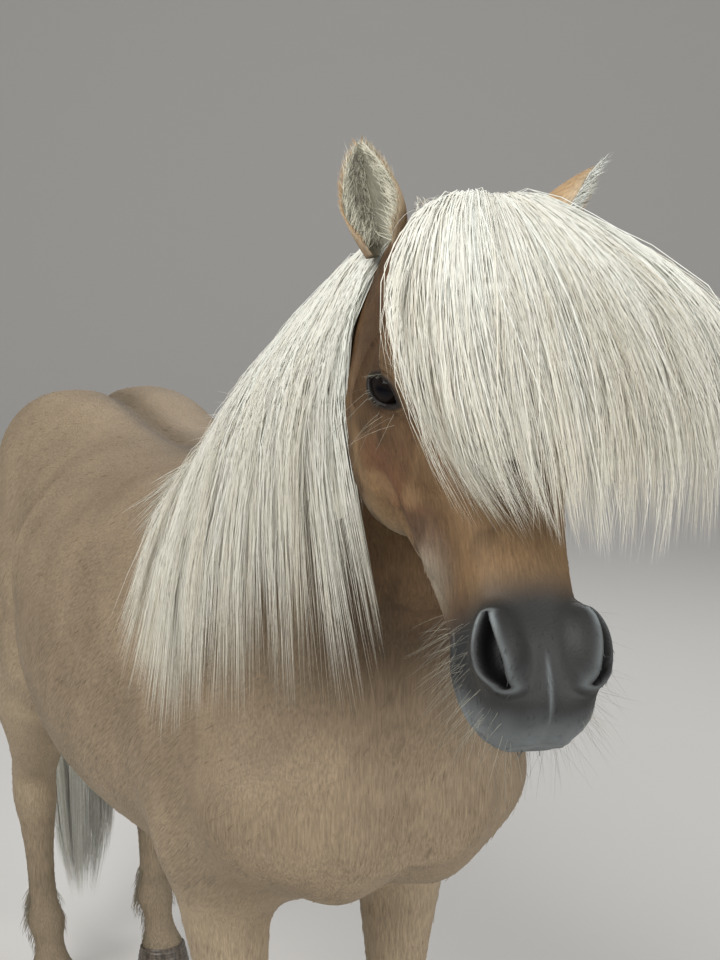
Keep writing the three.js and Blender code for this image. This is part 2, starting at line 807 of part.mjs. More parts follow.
// A hoof: flat below, sloping up to the coronet, longer at the toe than at the heel.
function hoofSolid(leg, sign) {
  const rows = leg === "fore" ? FORE_LEG : HIND_LEG;
  const [x, y, forward, back, half] = read(rows, CORONET.height);
  const rings = HOOF.map(([z, toe, heel, side]) =>
    Array.from({ length: 14 }, (_, i) => {
      const angle = (2 * Math.PI * i) / 14;
      const [c, s] = [Math.cos(angle), Math.sin(angle)];
      const reach = c > 0 ? forward + toe : back + heel;
      const px = x + reach * Math.sign(c) * Math.abs(c) ** 0.9;
      return new THREE.Vector3(px, sign * y + (half + side) * s, z);
    }),
  );
  const middle = (z) => new THREE.Vector3(x, sign * y, z);
  return ringSolid(rings, middle(0), middle(HOOF[HOOF.length - 1][0]));
}

function coronetPlane(leg, shift) {
  const [x] = read(leg === "fore" ? FORE_LEG : HIND_LEG, CORONET.height);
  return {
    point: new THREE.Vector3(x, 0, CORONET.height + shift),
    normal: new THREE.Vector3(-CORONET.slope, 0, 1).normalize(),
  };
}

// A point or a way in the head's frame, on the side that the sign gives.
function onSide([t, y, z], sign) {
  return fromHead([t, sign * y, z]);
}

function wayOnSide([t, y, z], sign) {
  return new THREE.Vector3(t, sign * y, z).applyMatrix3(headTurn).normalize();
}

function ballSolid(centre, radius) {
  return toSolid(new THREE.SphereGeometry(radius, 14, 9)).translate(centre.toArray());
}

// The almond-shaped opening of the lids, as a solid that leads out from the eye's middle.
function lidOpening(sign) {
  const centre = onSide(EYE.centre, sign);
  const out = wayOnSide(EYE.out, sign);
  const along = wayOnSide(EYE.along, sign);
  const up = out.clone().cross(along).multiplyScalar(-sign).normalize();
  const ring = (depth) =>
    spread(0, 2, 17)
      .slice(0, 16)
      .map((turn) => {
        const u = turn < 1 ? 1 - 2 * turn : 2 * turn - 3;
        const high = (turn < 1 ? EYE.rise : -EYE.fall) * (1 - u * u);
        return centre
          .clone()
          .addScaledVector(out, depth)
          .addScaledVector(along, EYE.reach * u)
          .addScaledVector(up, high);
      });
  const tip = (depth) => centre.clone().addScaledVector(out, depth);
  return ringSolid([ring(2), ring(40)], tip(2), tip(40));
}

// The lids: a shell over the eyeball that the almond opens. The eyeball's place is cut later.
function lidSolid(sign) {
  return ballSolid(onSide(EYE.centre, sign), EYE.radius + EYE.lid).subtract(lidOpening(sign));
}

function nostrilSolid(sign) {
  const { line, out, tunnel } = NOSTRIL;
  const rows = line.map((row, i) => [i / (line.length - 1), ...row]);
  const path = spread(0, 1, 7).map((v) => onSide(read(rows, v), sign));
  const pit = tubeSolid(
    path,
    (v) => read(rows, v)[3],
    (v) => read(rows, v)[4],
    () => wayOnSide(out, sign),
    10,
  );
  const { from, to, r } = tunnel;
  return pit.add(rodSolid(onSide(from, sign), onSide(to, sign), r[0], r[1], 8));
}

// The line of the mouth, a groove round the lips.
function mouthSolid() {
  const { corner, cornerHeight, middle, height, radius } = MOUTH;
  const path = spread(-1, 1, 19).map((u) => {
    const turn = Math.min(Math.abs(u) / 0.6, 1) * Math.PI * 0.5;
    const further = Math.max(Math.abs(u) - 0.6, 0) / 0.4;
    const t = middle - (middle - corner) * further;
    const z = height + (cornerHeight - height) * further;
    const way = new THREE.Vector3(Math.cos(turn), Math.sign(u) * Math.sin(turn), 0);
    const centre = fromHead([t, 0, z]);
    const direction = way.applyMatrix3(headTurn);
    return centre.addScaledVector(direction, reachOf(centre, direction, 0));
  });
  return tubeSolid(path, () => radius, () => radius, () => headWays[2], 6);
}

// An ear: a leaf rolled round its hollow, wrapped close at the base and open above.
function earSolid(sign, grow) {
  const ear = EARS[sign];
  const base = fromHead(ear.base);
  const tip = fromHead(ear.tip);
  const axis = tip.clone().sub(base);
  const length = axis.length();
  axis.normalize();
  const open = new THREE.Vector3(...ear.open).applyMatrix3(headTurn);
  open.addScaledVector(axis, -open.dot(axis)).normalize();
  const side = axis.clone().cross(open);
  const grid = (shell) =>
    spread(0, 1, 9).map((s) => {
      const [radius, wrap, back] = read(EAR_FORM, s);
      const centre = base
        .clone()
        .addScaledVector(axis, s * length + (s === 1 ? grow : 0))
        .addScaledVector(open, back);
      const r = Math.max(radius + (shell ? grow : -EAR_SHELL * (1 - 0.55 * s) - grow), 0.8);
      const wide = THREE.MathUtils.degToRad(wrap + (grow * 60) / radius);
      return spread(-wide, wide, 9).map((angle) =>
        centre
          .clone()
          .addScaledVector(open, -r * Math.cos(angle))
          .addScaledVector(side, r * Math.sin(angle)),
      );
    });
  const leaf = sheetSolid(grid(true), grid(false));
  const low = base.clone().addScaledVector(axis, -6);
  const high = base.clone().addScaledVector(axis, EAR_PLUG * length);
  const plug = rodSolid(low, high, EAR_FORM[0][1] - 2, EAR_FORM[1][1] - 6, 10);
  return joined([leaf, plug]);
}

// A point down a guide line, by its share v.
function linePoint(guide, v) {
  return read(guide.map((p, j) => [j / (guide.length - 1), ...p]), v);
}

// A point of a sheet of hair: across its guide lines by u and down them by v.
function sheetPoint(guides, u, v) {
  const rows = guides.map((guide, i) => [i / (guides.length - 1), ...linePoint(guide, v)]);
  return new THREE.Vector3(...read(rows, u));
}

function sheetOut(guides, u, v) {
  const d = 0.02;
  const across = sheetPoint(guides, Math.min(u + d, 1), v).sub(
    sheetPoint(guides, Math.max(u - d, 0), v),
  );
  const down = sheetPoint(guides, u, Math.min(v + d, 1)).sub(
    sheetPoint(guides, u, Math.max(v - d, 0)),
  );
  return down.cross(across).normalize();
}

// Numbers from 0 to 1 that come out the same each time.
function seeded(seed) {
  let state = seed;
  return () => {
    state = (state * 1664525 + 1013904223) % 4294967296;
    return state / 4294967296;
  };
}

// One lock: a flat tube that widens from its root and tapers to its tip.
function lockSolid(path, locks, form, out) {
  return tubeSolid(
    path,
    (v) => locks.half * read(form, v)[0],
    (v) => locks.thick * read(form, v)[1],
    out,
    4,
  );
}

// Locks side by side down a sheet of hair, in layers, each of its own length and drift.
function sheetLocks(guides, locks, form, seed) {
  const random = seeded(seed);
  const made = [];
  for (let layer = 0; layer < locks.layers; layer += 1) {
    for (let i = 0; i < locks.count; i += 1) {
      const u = (i + 0.5 - 0.25 * layer + 0.3 * (random() - 0.5)) / locks.count;
      const drift = locks.drift * (random() - 0.5);
      const end = 1 - locks.uneven * random();
      const shares = spread(0, end, LOCK_RINGS);
      const across = (v) => THREE.MathUtils.clamp(u + drift * v, 0, 1);
      const out = shares.map((v) => sheetOut(guides, across(v), v));
      const lift = layer * locks.lift;
      const path = shares.map((v, k) =>
        sheetPoint(guides, across(v), v).addScaledVector(out[k], lift * Math.min(4 * v, 1)),
      );
      made.push(lockSolid(path, locks, form, (k) => out[k]));
    }
  }
  return made;
}

const pony = new THREE.Group();
const parts = [];

function add(name, solid, slot, roughness) {
  parts.push(toMesh(name, solid, slot, roughness));
}

const SIDES = [
  ["right", -1],
  ["left", 1],
];

// Flesh and ears, grown by the clearance, that hair and ears are cut back from.
const grown = {
  torso: torsoSolid(CLEARANCE),
  neck: neckSolid(CLEARANCE),
  head: headSolid(CLEARANCE),
  ears: joined([earSolid(-1, CLEARANCE), earSolid(1, CLEARANCE)]),
};

function makeTorso() {
  const back = neckCut.normal.clone().negate();
  let torso = torsoSolid(0).intersect(halfSpace(neckCut.point, back));
  for (const [, sign] of SIDES) {
    for (const leg of ["fore", "hind"]) torso = torso.subtract(legBox(leg, sign, GAP));
  }
  add("torso", torso, "coat", 0.75);
}

function makeLegs() {
  for (const [side, sign] of SIDES) {
    for (const leg of ["fore", "hind"]) {
      const high = coronetPlane(leg, GAP);
      const low = coronetPlane(leg, 0);
      const flesh = legSolid(leg, sign, 0)
        .intersect(legBox(leg, sign, 0))
        .intersect(halfSpace(high.point, high.normal));
      add(`leg_${leg}_${side}`, flesh, "coat", 0.75);
      const hoof = hoofSolid(leg, sign).intersect(halfSpace(low.point, low.normal.negate()));
      add(`hoof_${leg}_${side}`, hoof, "hoof", 0.5);
    }
  }
}

function makeNeck() {
  const from = neckCut.point.clone().addScaledVector(neckCut.normal, GAP);
  const flesh = neckSolid(0).intersect(halfSpace(from, neckCut.normal)).subtract(headSide(GAP));
  const right = sheetLocks(MANE_RIGHT, MANE_LOCKS, LOCK_FORM, 5);
  const left = sheetLocks(MANE_LEFT, LEFT_LOCKS, LOCK_FORM, 8);
  const mane = joined([...right, ...left])
    .subtract(grown.torso)
    .subtract(grown.head)
    .subtract(grown.ears)
    .intersect(halfSpace(fromHead([0, 0, HAIR_PARTING - GAP]), headWays[2].clone().negate()));
  add("neck", flesh.add(mane), "coat", 0.75);
}

function makeHead() {
  let head = headSolid(0).intersect(headSide(0));
  for (const [, sign] of SIDES) {
    head = head.subtract(lidOpening(sign)).add(lidSolid(sign)).subtract(nostrilSolid(sign));
  }
  head = head.subtract(mouthSolid());
  const forelock = joined(sheetLocks(FORELOCK, FORELOCK_LOCKS, FAN_FORM, 3))
    .subtract(grown.neck)
    .subtract(grown.ears)
    .intersect(halfSpace(fromHead([0, 0, HAIR_PARTING]), headWays[2]));
  head = head.add(forelock);
  for (const [, sign] of SIDES) {
    head = head.subtract(ballSolid(onSide(EYE.centre, sign), EYE.radius + GAP));
  }
  add("head", head, "face", 0.7);
}

function makeEarsAndEyes() {
  for (const [side, sign] of SIDES) {
    const ear = earSolid(sign, 0).subtract(grown.head).subtract(grown.neck);
    add(`ear_${side}`, ear, "face", 0.75);
    add(`eye_${side}`, ballSolid(onSide(EYE.centre, sign), EYE.radius), "eye", 0.08);
  }
}

// The tail: a dock that thins down, inside locks that hang all round it.
function makeTail() {
  const random = seeded(17);
  const back = FORWARD.clone().negate();
  const line = (v) => new THREE.Vector3(...linePoint(TAIL_LINE, v));
  const dock = tubeSolid(
    spread(0, 0.8, 9).map(line),
    (share) => 0.7 * read(TAIL_FORM, 0.8 * share)[0] * (1 - 0.6 * share),
    (share) => 0.8 * read(TAIL_FORM, 0.8 * share)[1] * (1 - 0.5 * share),
    () => back,
    10,
  );
  const locks = spread(0, 2 * Math.PI, TAIL_LOCKS.count + 1).slice(1).map((turn) => {
    const angle = turn + TAIL_LOCKS.drift * (random() - 0.5);
    const end = 1 - TAIL_LOCKS.uneven * random();
    const path = spread(0.03, end, LOCK_RINGS).map((v) => {
      const [wide, deep] = read(TAIL_FORM, v).map((half) => 0.78 * half);
      return line(v)
        .addScaledVector(LEFT, wide * Math.cos(angle))
        .addScaledVector(back, deep * Math.sin(angle));
    });
    const out = LEFT.clone().multiplyScalar(Math.cos(angle)).addScaledVector(back, Math.sin(angle));
    return lockSolid(path, TAIL_LOCKS, LOCK_FORM, () => out);
  });
  add("tail", joined([dock, ...locks]).subtract(grown.torso), "hair", 0.7);
}

makeTorso();
makeLegs();
makeNeck();
makeHead();
makeEarsAndEyes();
makeTail();

// The origin is under the middle of the pony's box, on the floor.
for (const part of parts) pony.add(part);
const box = new THREE.Box3().setFromObject(pony);
const middle = box.getCenter(new THREE.Vector3());
for (const part of parts) part.position.set(-middle.x, -middle.y, -box.min.z);
pony.scale.setScalar(WITHERS_HEIGHT / TABLE_HEIGHT);

export default pony;
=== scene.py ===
"""A Shetland pony standing square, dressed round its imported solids.

The pony's tables are in millimetres: X forward from the withers, Y to its left, Z up. The skin is
one surface round the same masses as the solids, and the hair is closed strands set on it.
"""
import math

import bpy
import numpy as np
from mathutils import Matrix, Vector


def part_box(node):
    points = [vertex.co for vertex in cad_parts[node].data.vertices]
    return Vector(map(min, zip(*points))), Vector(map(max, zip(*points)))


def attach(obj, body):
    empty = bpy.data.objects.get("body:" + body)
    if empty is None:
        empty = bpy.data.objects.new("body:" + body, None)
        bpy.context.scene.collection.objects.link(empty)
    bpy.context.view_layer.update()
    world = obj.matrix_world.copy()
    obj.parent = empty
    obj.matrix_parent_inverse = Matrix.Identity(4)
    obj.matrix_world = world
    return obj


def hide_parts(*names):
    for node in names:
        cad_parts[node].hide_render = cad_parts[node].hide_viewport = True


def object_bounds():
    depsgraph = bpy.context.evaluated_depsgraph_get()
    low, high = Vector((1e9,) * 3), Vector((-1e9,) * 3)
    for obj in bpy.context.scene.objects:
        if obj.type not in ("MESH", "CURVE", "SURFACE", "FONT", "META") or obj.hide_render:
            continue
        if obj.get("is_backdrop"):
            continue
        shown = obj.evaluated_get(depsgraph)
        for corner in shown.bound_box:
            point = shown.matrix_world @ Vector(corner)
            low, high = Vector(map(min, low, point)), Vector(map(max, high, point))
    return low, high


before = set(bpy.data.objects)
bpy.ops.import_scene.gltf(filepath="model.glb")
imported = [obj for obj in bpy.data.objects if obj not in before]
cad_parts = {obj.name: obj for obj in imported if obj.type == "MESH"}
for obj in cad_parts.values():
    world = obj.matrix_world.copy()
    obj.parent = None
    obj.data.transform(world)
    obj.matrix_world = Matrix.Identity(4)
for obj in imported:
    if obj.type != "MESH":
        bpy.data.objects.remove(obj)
cad_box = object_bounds()

SEED = 20
SKIN_STEP = 8.0
SKIN_SPAN = ((-840, -232, 22), (690, 232, 1260))
# The most strands in one piece, and how flat a strand is.
MOST_STRANDS = 4300
STRAND_FLATNESS = 0.7
# How deep the skin lies under the flesh's outline, on the body and on the face.
COAT_DEPTH = 3.0
FACE_COAT_DEPTH = 1.2
# A distance beyond every surface of the pony.
FAR = 3000.0
# The head lies above this height. The coat of the legs and their fields in the unwrap end at the
# next two. The last one is the X between fore and hind legs.
HEAD_ABOVE = 850
LEGS_BELOW = 430
LEG_FIELD_BELOW = 470
MID_BODY_X = -300

# The head's pose: where the poll is, and how the head turns from facing straight ahead.
POLL = (386, -9, 1236)
HEAD_TURN_DEG = -10.9
HEAD_DROP_DEG = 54.9
HEAD_TILT_DEG = -2.9

# Torso along X: [x, top, belly, half width, height where it is widest].
TORSO = [
    [-816, 860, 770, 40, 815],
    [-800, 888, 735, 76, 812],
    [-760, 922, 680, 118, 805],
    [-690, 962, 620, 140, 795],
    [-600, 984, 572, 158, 780],
    [-510, 979, 525, 180, 755],
    [-400, 961, 490, 208, 725],
    [-270, 950, 472, 218, 705],
    [-120, 963, 474, 206, 705],
    [0, 984, 484, 184, 715],
    [90, 962, 500, 166, 715],
    [170, 905, 540, 146, 705],
    [235, 800, 590, 108, 690],
    [262, 740, 620, 70, 680],
]
TORSO_ROUNDNESS = 2.25
SPINE_GROOVE = {"depth": 8, "width": 15, "from": -780, "to": -260}

# Neck between two rails: [share, crest x, crest z, throat x, throat z, half width, sideways].
NECK = [
    [0, -60, 980, 250, 620, 136, 0],
    [0.25, 20, 1008, 286, 735, 118, 0],
    [0.5, 110, 1086, 302, 848, 100, -3],
    [0.75, 206, 1164, 270, 936, 86, -6],
    [1, 312, 1222, 264, 1020, 72, -9],
    [1.2, 384, 1224, 318, 1046, 60, -9],
]
# The neck is three chains of rods: [share of the depth, share of the half width as radius].
NECK_CHAINS = [[0, 0.42], [0.46, 0.94], [1, 0.6]]
NECK_BLEND = 34
NECK_TO_TORSO_BLEND = 55
HEAD_TO_NECK_BLEND = 26
LEG_BLEND = 40

# Head along its own axis: [from poll, top, underside, half width, height where it is widest].
HEAD = [
    [-14, -30, -70, 34, -50],
    [0, -6, -112, 58, -55],
    [30, 4, -154, 72, -55],
    [70, 7, -184, 80, -58],
    [110, 5, -202, 86, -64],
    [140, 1, -204, 83, -66],
    [170, -3, -196, 74, -72],
    [200, -8, -182, 68, -78],
    [250, -15, -152, 62, -78],
    [300, -19, -126, 54, -74],
    [340, -19, -116, 50, -74],
    [370, -19, -119, 52, -79],
    [400, -26, -114, 48, -77],
    [420, -38, -104, 39, -73],
    [434, -56, -88, 23, -72],
]
HEAD_ROUNDNESS = 2.35

# Legs by height: [z, x, sideways, reach forward, reach back, half width].
FORE_LEG = [
    [30, 107, 92, 35, 36, 38],
    [52, 102, 92, 34, 35, 37],
    [64, 99, 92, 31, 33, 34],
    [78, 94, 92, 26, 29, 28],
    [100, 86, 92, 24, 29, 26],
    [126, 79, 92, 28, 35, 31],
    [158, 76, 92, 22, 31, 24],
    [220, 75, 93, 22, 31, 23],
    [268, 75, 94, 28, 31, 29],
    [304, 76, 95, 36, 32, 36],
    [342, 74, 97, 32, 33, 33],
    [400, 70, 101, 38, 43, 38],
    [470, 66, 106, 50, 58, 47],
    [540, 62, 110, 66, 74, 54],
    [600, 62, 112, 78, 84, 56],
]
HIND_LEG = [
    [30, -693, 92, 35, 36, 37],
    [52, -698, 92, 34, 35, 36],
    [64, -703, 92, 31, 33, 33],
    [78, -710, 92, 26, 29, 28],
    [100, -718, 92, 25, 30, 26],
    [126, -730, 92, 29, 37, 32],
    [158, -738, 93, 24, 33, 25],
    [220, -744, 94, 23, 33, 24],
    [280, -748, 95, 30, 39, 29],
    [330, -748, 97, 42, 50, 36],
    [372, -738, 99, 42, 64, 35],
    [402, -716, 102, 46, 66, 37],
    [450, -684, 107, 58, 58, 47],
    [520, -652, 113, 86, 74, 60],
    [590, -636, 113, 112, 94, 66],
    [650, -636, 111, 124, 106, 69],
]

# Masses and hollows on both sides: (from, to, radii, blend) for a rod, (at, radii, blend) else.
MUSCLES = [
    ((0, 66, 925), (182, 118, 672), (42, 64), 60),
    ((194, 112, 650), (84, 124, 590), (52, 54), 44),
    ((50, 126, 665), (98, 54, 108), 50),
    ((222, 52, 662), (62, 62, 100), 50),
    ((-610, 72, 880), (150, 84, 104), 60),
    ((-600, 100, 760), (-560, 110, 610), (76, 62), 50),
    ((-752, 70, 840), (-704, 94, 650), (60, 60), 50),
    ((-704, 94, 650), (-684, 106, 520), (60, 46), 40),
]
HOLLOWS = [
    ((-498, 240, 735), (52, 62, 170), 40),
    ((-350, 60, 396), (240, 260, 60), 30),
]
HEAD_MASSES = [
    ((132, 50, -124), (98, 42, 78), 22),
    ((128, 62, -36), (42, 24, 26), 18),
    ((176, 66, -76), (262, 43, -78), (13, 8), 18),
    ((371, 35, -32), (35, 22, 23), 12),
    ((404, 14, -56), (31, 30, 28), 16),
    ((385, 9, -94), (31, 30, 18), 10),
]
HEAD_HOLLOWS = [
    ((88, 94, -34), (26, 12, 18), 14),
    ((296, 60, -50), (56, 14, 16), 18),
]

# The eye and its lids, the nostrils and the mouth, in the head's own frame.
EYE = {
    "centre": (135, 68.5, -60),
    "out": (0.5, 0.73, 0.46),
    "along": (0.68, -0.66, 0.32),
    "radius": 22.0,
    "lid": 2.6,
    "reach": 18.5,
    "rise": 12.2,
    "fall": 10.6,
}
# A nostril's middle line with its half width: [along, sideways, up, half width].
NOSTRIL = [
    [346, 41, -21, 1.5],
    [361, 42, -21, 6],
    [375, 41, -23, 9],
    [388, 37, -26, 9],
    [401, 29, -29, 3.5],
]
NOSTRIL_MIDDLE = (376, 42, -24)
NOSTRIL_OUT = (0.25, 0.8, 0.55)
NOSTRIL_DEPTH = 20.0
MOUTH = {"corner": 338, "corner_height": -72, "middle": 385, "height": -80}

# Folds of the lids: [height, distance from the rim, half width, 1 for the upper lid].
LID_FOLDS = [
    [-1.6, 5.2, 1.0, 1],
    [0.9, 7.6, 1.6, 1],
    [-1.0, 10.6, 1.2, 1],
    [-0.8, 4.2, 1.0, 0],
    [-0.5, 8.4, 1.1, 0],
]

# The ears' bases and tips and the way each opens, in the head's own frame.
EARS = {
    -1: ((10, -60, -54), (-74, -86, -15), (0.5, -0.55, 0.66)),
    1: ((12, 62, -54), (-47, 124, 6), (0.3, 0.85, 0.42)),
}
EAR_SKIN_DEPTH = 0.4
# An ear's form from base to tip: [share, radius, half the wrap in degrees, shift to the opening].
EAR_FORM = [
    [0, 19, 150, 0],
    [0.15, 23, 138, 1],
    [0.35, 27, 112, 4],
    [0.55, 26, 96, 6],
    [0.75, 20, 84, 5],
    [0.9, 11, 72, 1],
    [1, 3, 60, -3],
]

CORONET_HEIGHT = 56
ABOVE_HOOVES = 58
CORONET_SLOPE = 0.2
# A hoof's height and how much further it reaches than the coronet: [z, toe, heel, side].
HOOF = [
    [0, 21, 3, 8],
    [5, 22, 4, 9],
    [34, 10, 3, 5],
    [74, -4, -2, -3],
]

# Guide lines of the hair, each from the root to the tip. The forelock is in the head's frame.
FORELOCK = [
    [
        [22, -14, -18], [20, -38, 28], [50, -70, 42], [98, -92, 42],
        [150, -97, 38], [205, -84, 30], [258, -58, 18], [296, -34, 10],
    ],
    [
        [16, -8, -18], [14, -20, 34], [50, -42, 54], [110, -58, 60],
        [165, -65, 60], [220, -62, 54], [266, -46, 40], [304, -12, 22],
    ],
    [
        [10, 0, -18], [14, 2, 33], [50, 4, 52], [106, 8, 62],
        [166, 12, 64], [226, 14, 62], [282, 16, 50], [330, 16, 38],
    ],
    [
        [6, 8, -18], [10, 22, 31], [42, 52, 42], [94, 82, 48],
        [152, 96, 50], [222, 98, 52], [286, 90, 48], [340, 74, 42],
    ],
    [
        [2, 14, -18], [4, 40, 24], [32, 94, 27], [72, 148, 30],
        [120, 184, 30], [180, 194, 30], [242, 188, 26], [300, 166, 22],
    ],
]
MANE_RIGHT = [
    [
        [336, -10, 1188], [330, -24, 1220], [318, -64, 1180], [320, -93, 1106],
        [335, -100, 1020], [360, -96, 920], [384, -88, 800],
    ],
    [
        [236, -8, 1140], [230, -26, 1189], [214, -66, 1150], [200, -116, 1070],
        [206, -142, 990], [220, -160, 890], [240, -172, 765],
    ],
    [
        [122, -4, 1050], [114, -28, 1105], [100, -76, 1072], [100, -130, 1000],
        [112, -164, 915], [128, -188, 830], [144, -205, 725],
    ],
    [
        [16, 0, 985], [14, -22, 1006], [28, -70, 990], [42, -130, 962],
        [56, -165, 909], [62, -190, 830], [28, -204, 764],
    ],
]
MANE_LEFT = [
    [
        [352, -6, 1196], [350, 6, 1234], [336, 42, 1206], [322, 78, 1120],
        [318, 92, 1040], [322, 98, 960], [332, 98, 870],
    ],
    [
        [236, -4, 1140], [234, 16, 1184], [226, 60, 1156], [214, 104, 1080],
        [222, 124, 1000], [232, 138, 920], [246, 148, 830],
    ],
    [
        [122, 0, 1050], [118, 22, 1100], [110, 74, 1074], [116, 124, 1000],
        [128, 150, 930], [140, 168, 860], [152, 182, 780],
    ],
    [
        [16, 4, 985], [14, 22, 1008], [26, 70, 998], [44, 130, 956],
        [54, 162, 894], [62, 184, 830], [60, 198, 780],
    ],
]
TAIL_LINE = [
    [-758, 0, 872],
    [-812, 0, 872],
    [-843, 2, 822],
    [-856, 4, 700],
    [-862, 8, 520],
    [-868, 12, 340],
    [-868, 12, 180],
    [-864, 8, 70],
]
# The tail's half width and half depth from dock to tip.
TAIL_FORM = [
    [0, 17, 14],
    [0.08, 30, 22],
    [0.17, 42, 30],
    [0.4, 68, 40],
    [0.65, 80, 42],
    [0.85, 64, 34],
    [1, 26, 14],
]

# Folds and ridges of the skin on both sides: the points of a line, its depth (negative for a
# ridge) and its half width. Those of the body are in x and z, those of the head along and up.
BODY_FOLDS = [
    ([(-398, 928), (-424, 868), (-456, 806), (-484, 740), (-492, 668), (-462, 596)], 9.0, 17),
    ([(-362, 918), (-400, 850), (-432, 780), (-456, 704)], -4.0, 18),
    ([(150, 900), (196, 838), (222, 760), (228, 690)], 4.5, 16),
    ([(-610, 700), (-640, 600), (-660, 520)], 2.5, 14),
]
HEAD_FOLDS = [
    ([(176, -104), (214, -112), (238, -132), (236, -160)], 3.6, 6),
    ([(196, -80), (232, -82), (262, -84), (296, -88)], -3.2, 7),
    ([(184, -96), (206, -98), (236, -100), (262, -102)], 3.0, 6),
    ([(150, -118), (186, -112), (214, -118)], -2.2, 8),
    ([(330, -76), (302, -86), (272, -104), (252, -128)], 3.0, 5),
    ([(336, -70), (330, -58), (318, -50)], 1.2, 3.5),
    ([(300, -58), (262, -70), (232, -92), (210, -116)], -1.2, 2.6),
    ([(262, -70), (238, -62), (214, -60)], -0.8, 2.0),
    ([(92, -40), (112, -33), (134, -33), (156, -42)], -3.0, 5),
    ([(104, -50), (120, -43), (140, -43)], 1.6, 2.6),
    ([(60, -96), (96, -110), (128, -122), (152, -146)], 2.4, 8),
]

# The way that the coat lies on each part.
COAT_WAYS = {"body": (-0.72, 0, -0.6), "legs": (-0.1, 0, -1.0), "neck": (-0.45, 0, -0.9)}

# Colours, linear.
COAT = (0.225, 0.17, 0.112)
COAT_LIGHT = (0.33, 0.26, 0.175)
FACE = (0.088, 0.048, 0.022)
FACE_LIGHT = (0.22, 0.14, 0.07)
FACE_RED = (0.13, 0.05, 0.028)
FACE_DARK = (0.04, 0.023, 0.011)
# A painted highlight along the jaw's lower edge.
JAW_PAINTED_HIGHLIGHT = (0.26, 0.205, 0.14)
CORNER_LIGHT = (0.3, 0.27, 0.21)
BARE_SKIN = (0.017, 0.0205, 0.0225)
FROST = (0.22, 0.245, 0.25)
LID_SKIN = (0.006, 0.0056, 0.006)
FLAXEN = (0.78, 0.8, 0.745)
FLAXEN_DARK = (0.57, 0.51, 0.39)
CREAM = (0.47, 0.45, 0.35)
EAR_BACK = (0.33, 0.215, 0.11)
IRIS = (0.008, 0.0055, 0.0045)
PUPIL = (0.002, 0.002, 0.0035)
# The nostril's dark skin with painted shade of its opening.
NOSTRIL_SKIN_AND_SHADE = (0.003, 0.003, 0.003)


# A turn about one axis: 0 is X, 1 is Y, 2 is Z.
def turn_about(axis, degrees):
    angle = math.radians(degrees)
    i, j = ((1, 2), (2, 0), (0, 1))[axis]
    matrix = np.eye(3)
    matrix[i, i] = matrix[j, j] = math.cos(angle)
    matrix[i, j], matrix[j, i] = -math.sin(angle), math.sin(angle)
    return matrix


HEAD_WAYS = turn_about(2, HEAD_TURN_DEG) @ turn_about(0, HEAD_TILT_DEG) @ turn_about(1, HEAD_DROP_DEG)


def from_head(points):
    return np.asarray(points, float) @ HEAD_WAYS.T + np.array(POLL, float)


def to_head(points):
    return (points - np.array(POLL, float)) @ HEAD_WAYS


# Points in the head's frame, folded over to its left half, and the side that each came from.
def mirrored_head(p):
    q = to_head(p)
    sign = np.where(q[:, 1] < 0, -1.0, 1.0)
    q[:, 1] = np.abs(q[:, 1])
    return q, sign


def unit(vectors):
    length = np.linalg.norm(vectors, axis=-1, keepdims=True)
    return vectors / np.maximum(length, 1e-9)


def smooth(low, high, x):
    t = np.clip((x - low) / (high - low), 0, 1)
    return t * t * (3 - 2 * t)


# A bell of height 1 round a middle.
def hump(x, middle, width):
    return np.exp(-(((x - middle) / width) ** 2))


def mix(base, other, share):
    base = np.asarray(base, float)
    return base + (np.asarray(other, float) - base) * np.asarray(share)[..., None]


# A curve from p to q that leaves with slope m and arrives with slope n.
def curve(p, q, m, n, t):
    return p + t * m + t**2 * (3 * (q - p) - 2 * m - n) + t**3 * (2 * (p - q) + m + n)


def neighbours(count):
    number = np.arange(count)
    return np.maximum(number - 1, 0), np.minimum(number + 1, count - 1)


# Reads a table of rows [at, ...values] between its rows, along smooth curves.
def read(rows, at):
    rows = np.asarray(rows, float)
    at = np.asarray(at, float)
    xs, ys = rows[:, 0], rows[:, 1:]
    before, after = neighbours(len(xs))
    slopes = (ys[after] - ys[before]) / (xs[after] - xs[before])[:, None]
    place = np.clip(at, xs[0], xs[-1])
    i = np.clip(np.searchsorted(xs, place, side="left") - 1, 0, len(xs) - 2)
    width = (xs[i + 1] - xs[i])[..., None]
    t = (place - xs[i])[..., None] / width
    return curve(ys[i], ys[i + 1], slopes[i] * width, slopes[i + 1] * width, t)


# Joins two forms, given as distances, with a fillet.
def blend(a, b, width):
    share = np.maximum(width - np.abs(a - b), 0) / width
    return np.minimum(a, b) - share * share * width / 4


# Cuts the second form out of the first.
def carve(a, b, width):
    return -blend(-a, b, width)


def outline_distance(across, along, reach_across, reach_along, roundness):
    u = np.abs(across) / reach_across
    v = np.abs(along) / reach_along
    r = np.maximum((u**roundness + v**roundness) ** (1 / roundness), 1e-3)
    return np.hypot(across, along) * (1 - 1 / r)


# How far points are from an ellipsoid or from a tapered rod.
def mass_distance(mass, p):
    if len(mass) == 3:
        at, radii, _ = (np.asarray(m, float) for m in mass)
        away = p - at
        near = np.linalg.norm(away / radii, axis=1)
        steep = np.linalg.norm(away / radii**2, axis=1)
        return near * (near - 1) / np.maximum(steep, 1e-9)
    start, end, radii, _ = (np.asarray(m, float) for m in mass)
    axis = end - start
    t = np.clip(((p - start) @ axis) / (axis @ axis), 0, 1)
    off = np.linalg.norm(p - start - t[:, None] * axis, axis=1)
    return off - (radii[0] + (radii[1] - radii[0]) * t)


def add_masses(d, p, masses, join=blend):
    for mass in masses:
        d = join(d, mass_distance(mass, p), mass[-1])
    return d


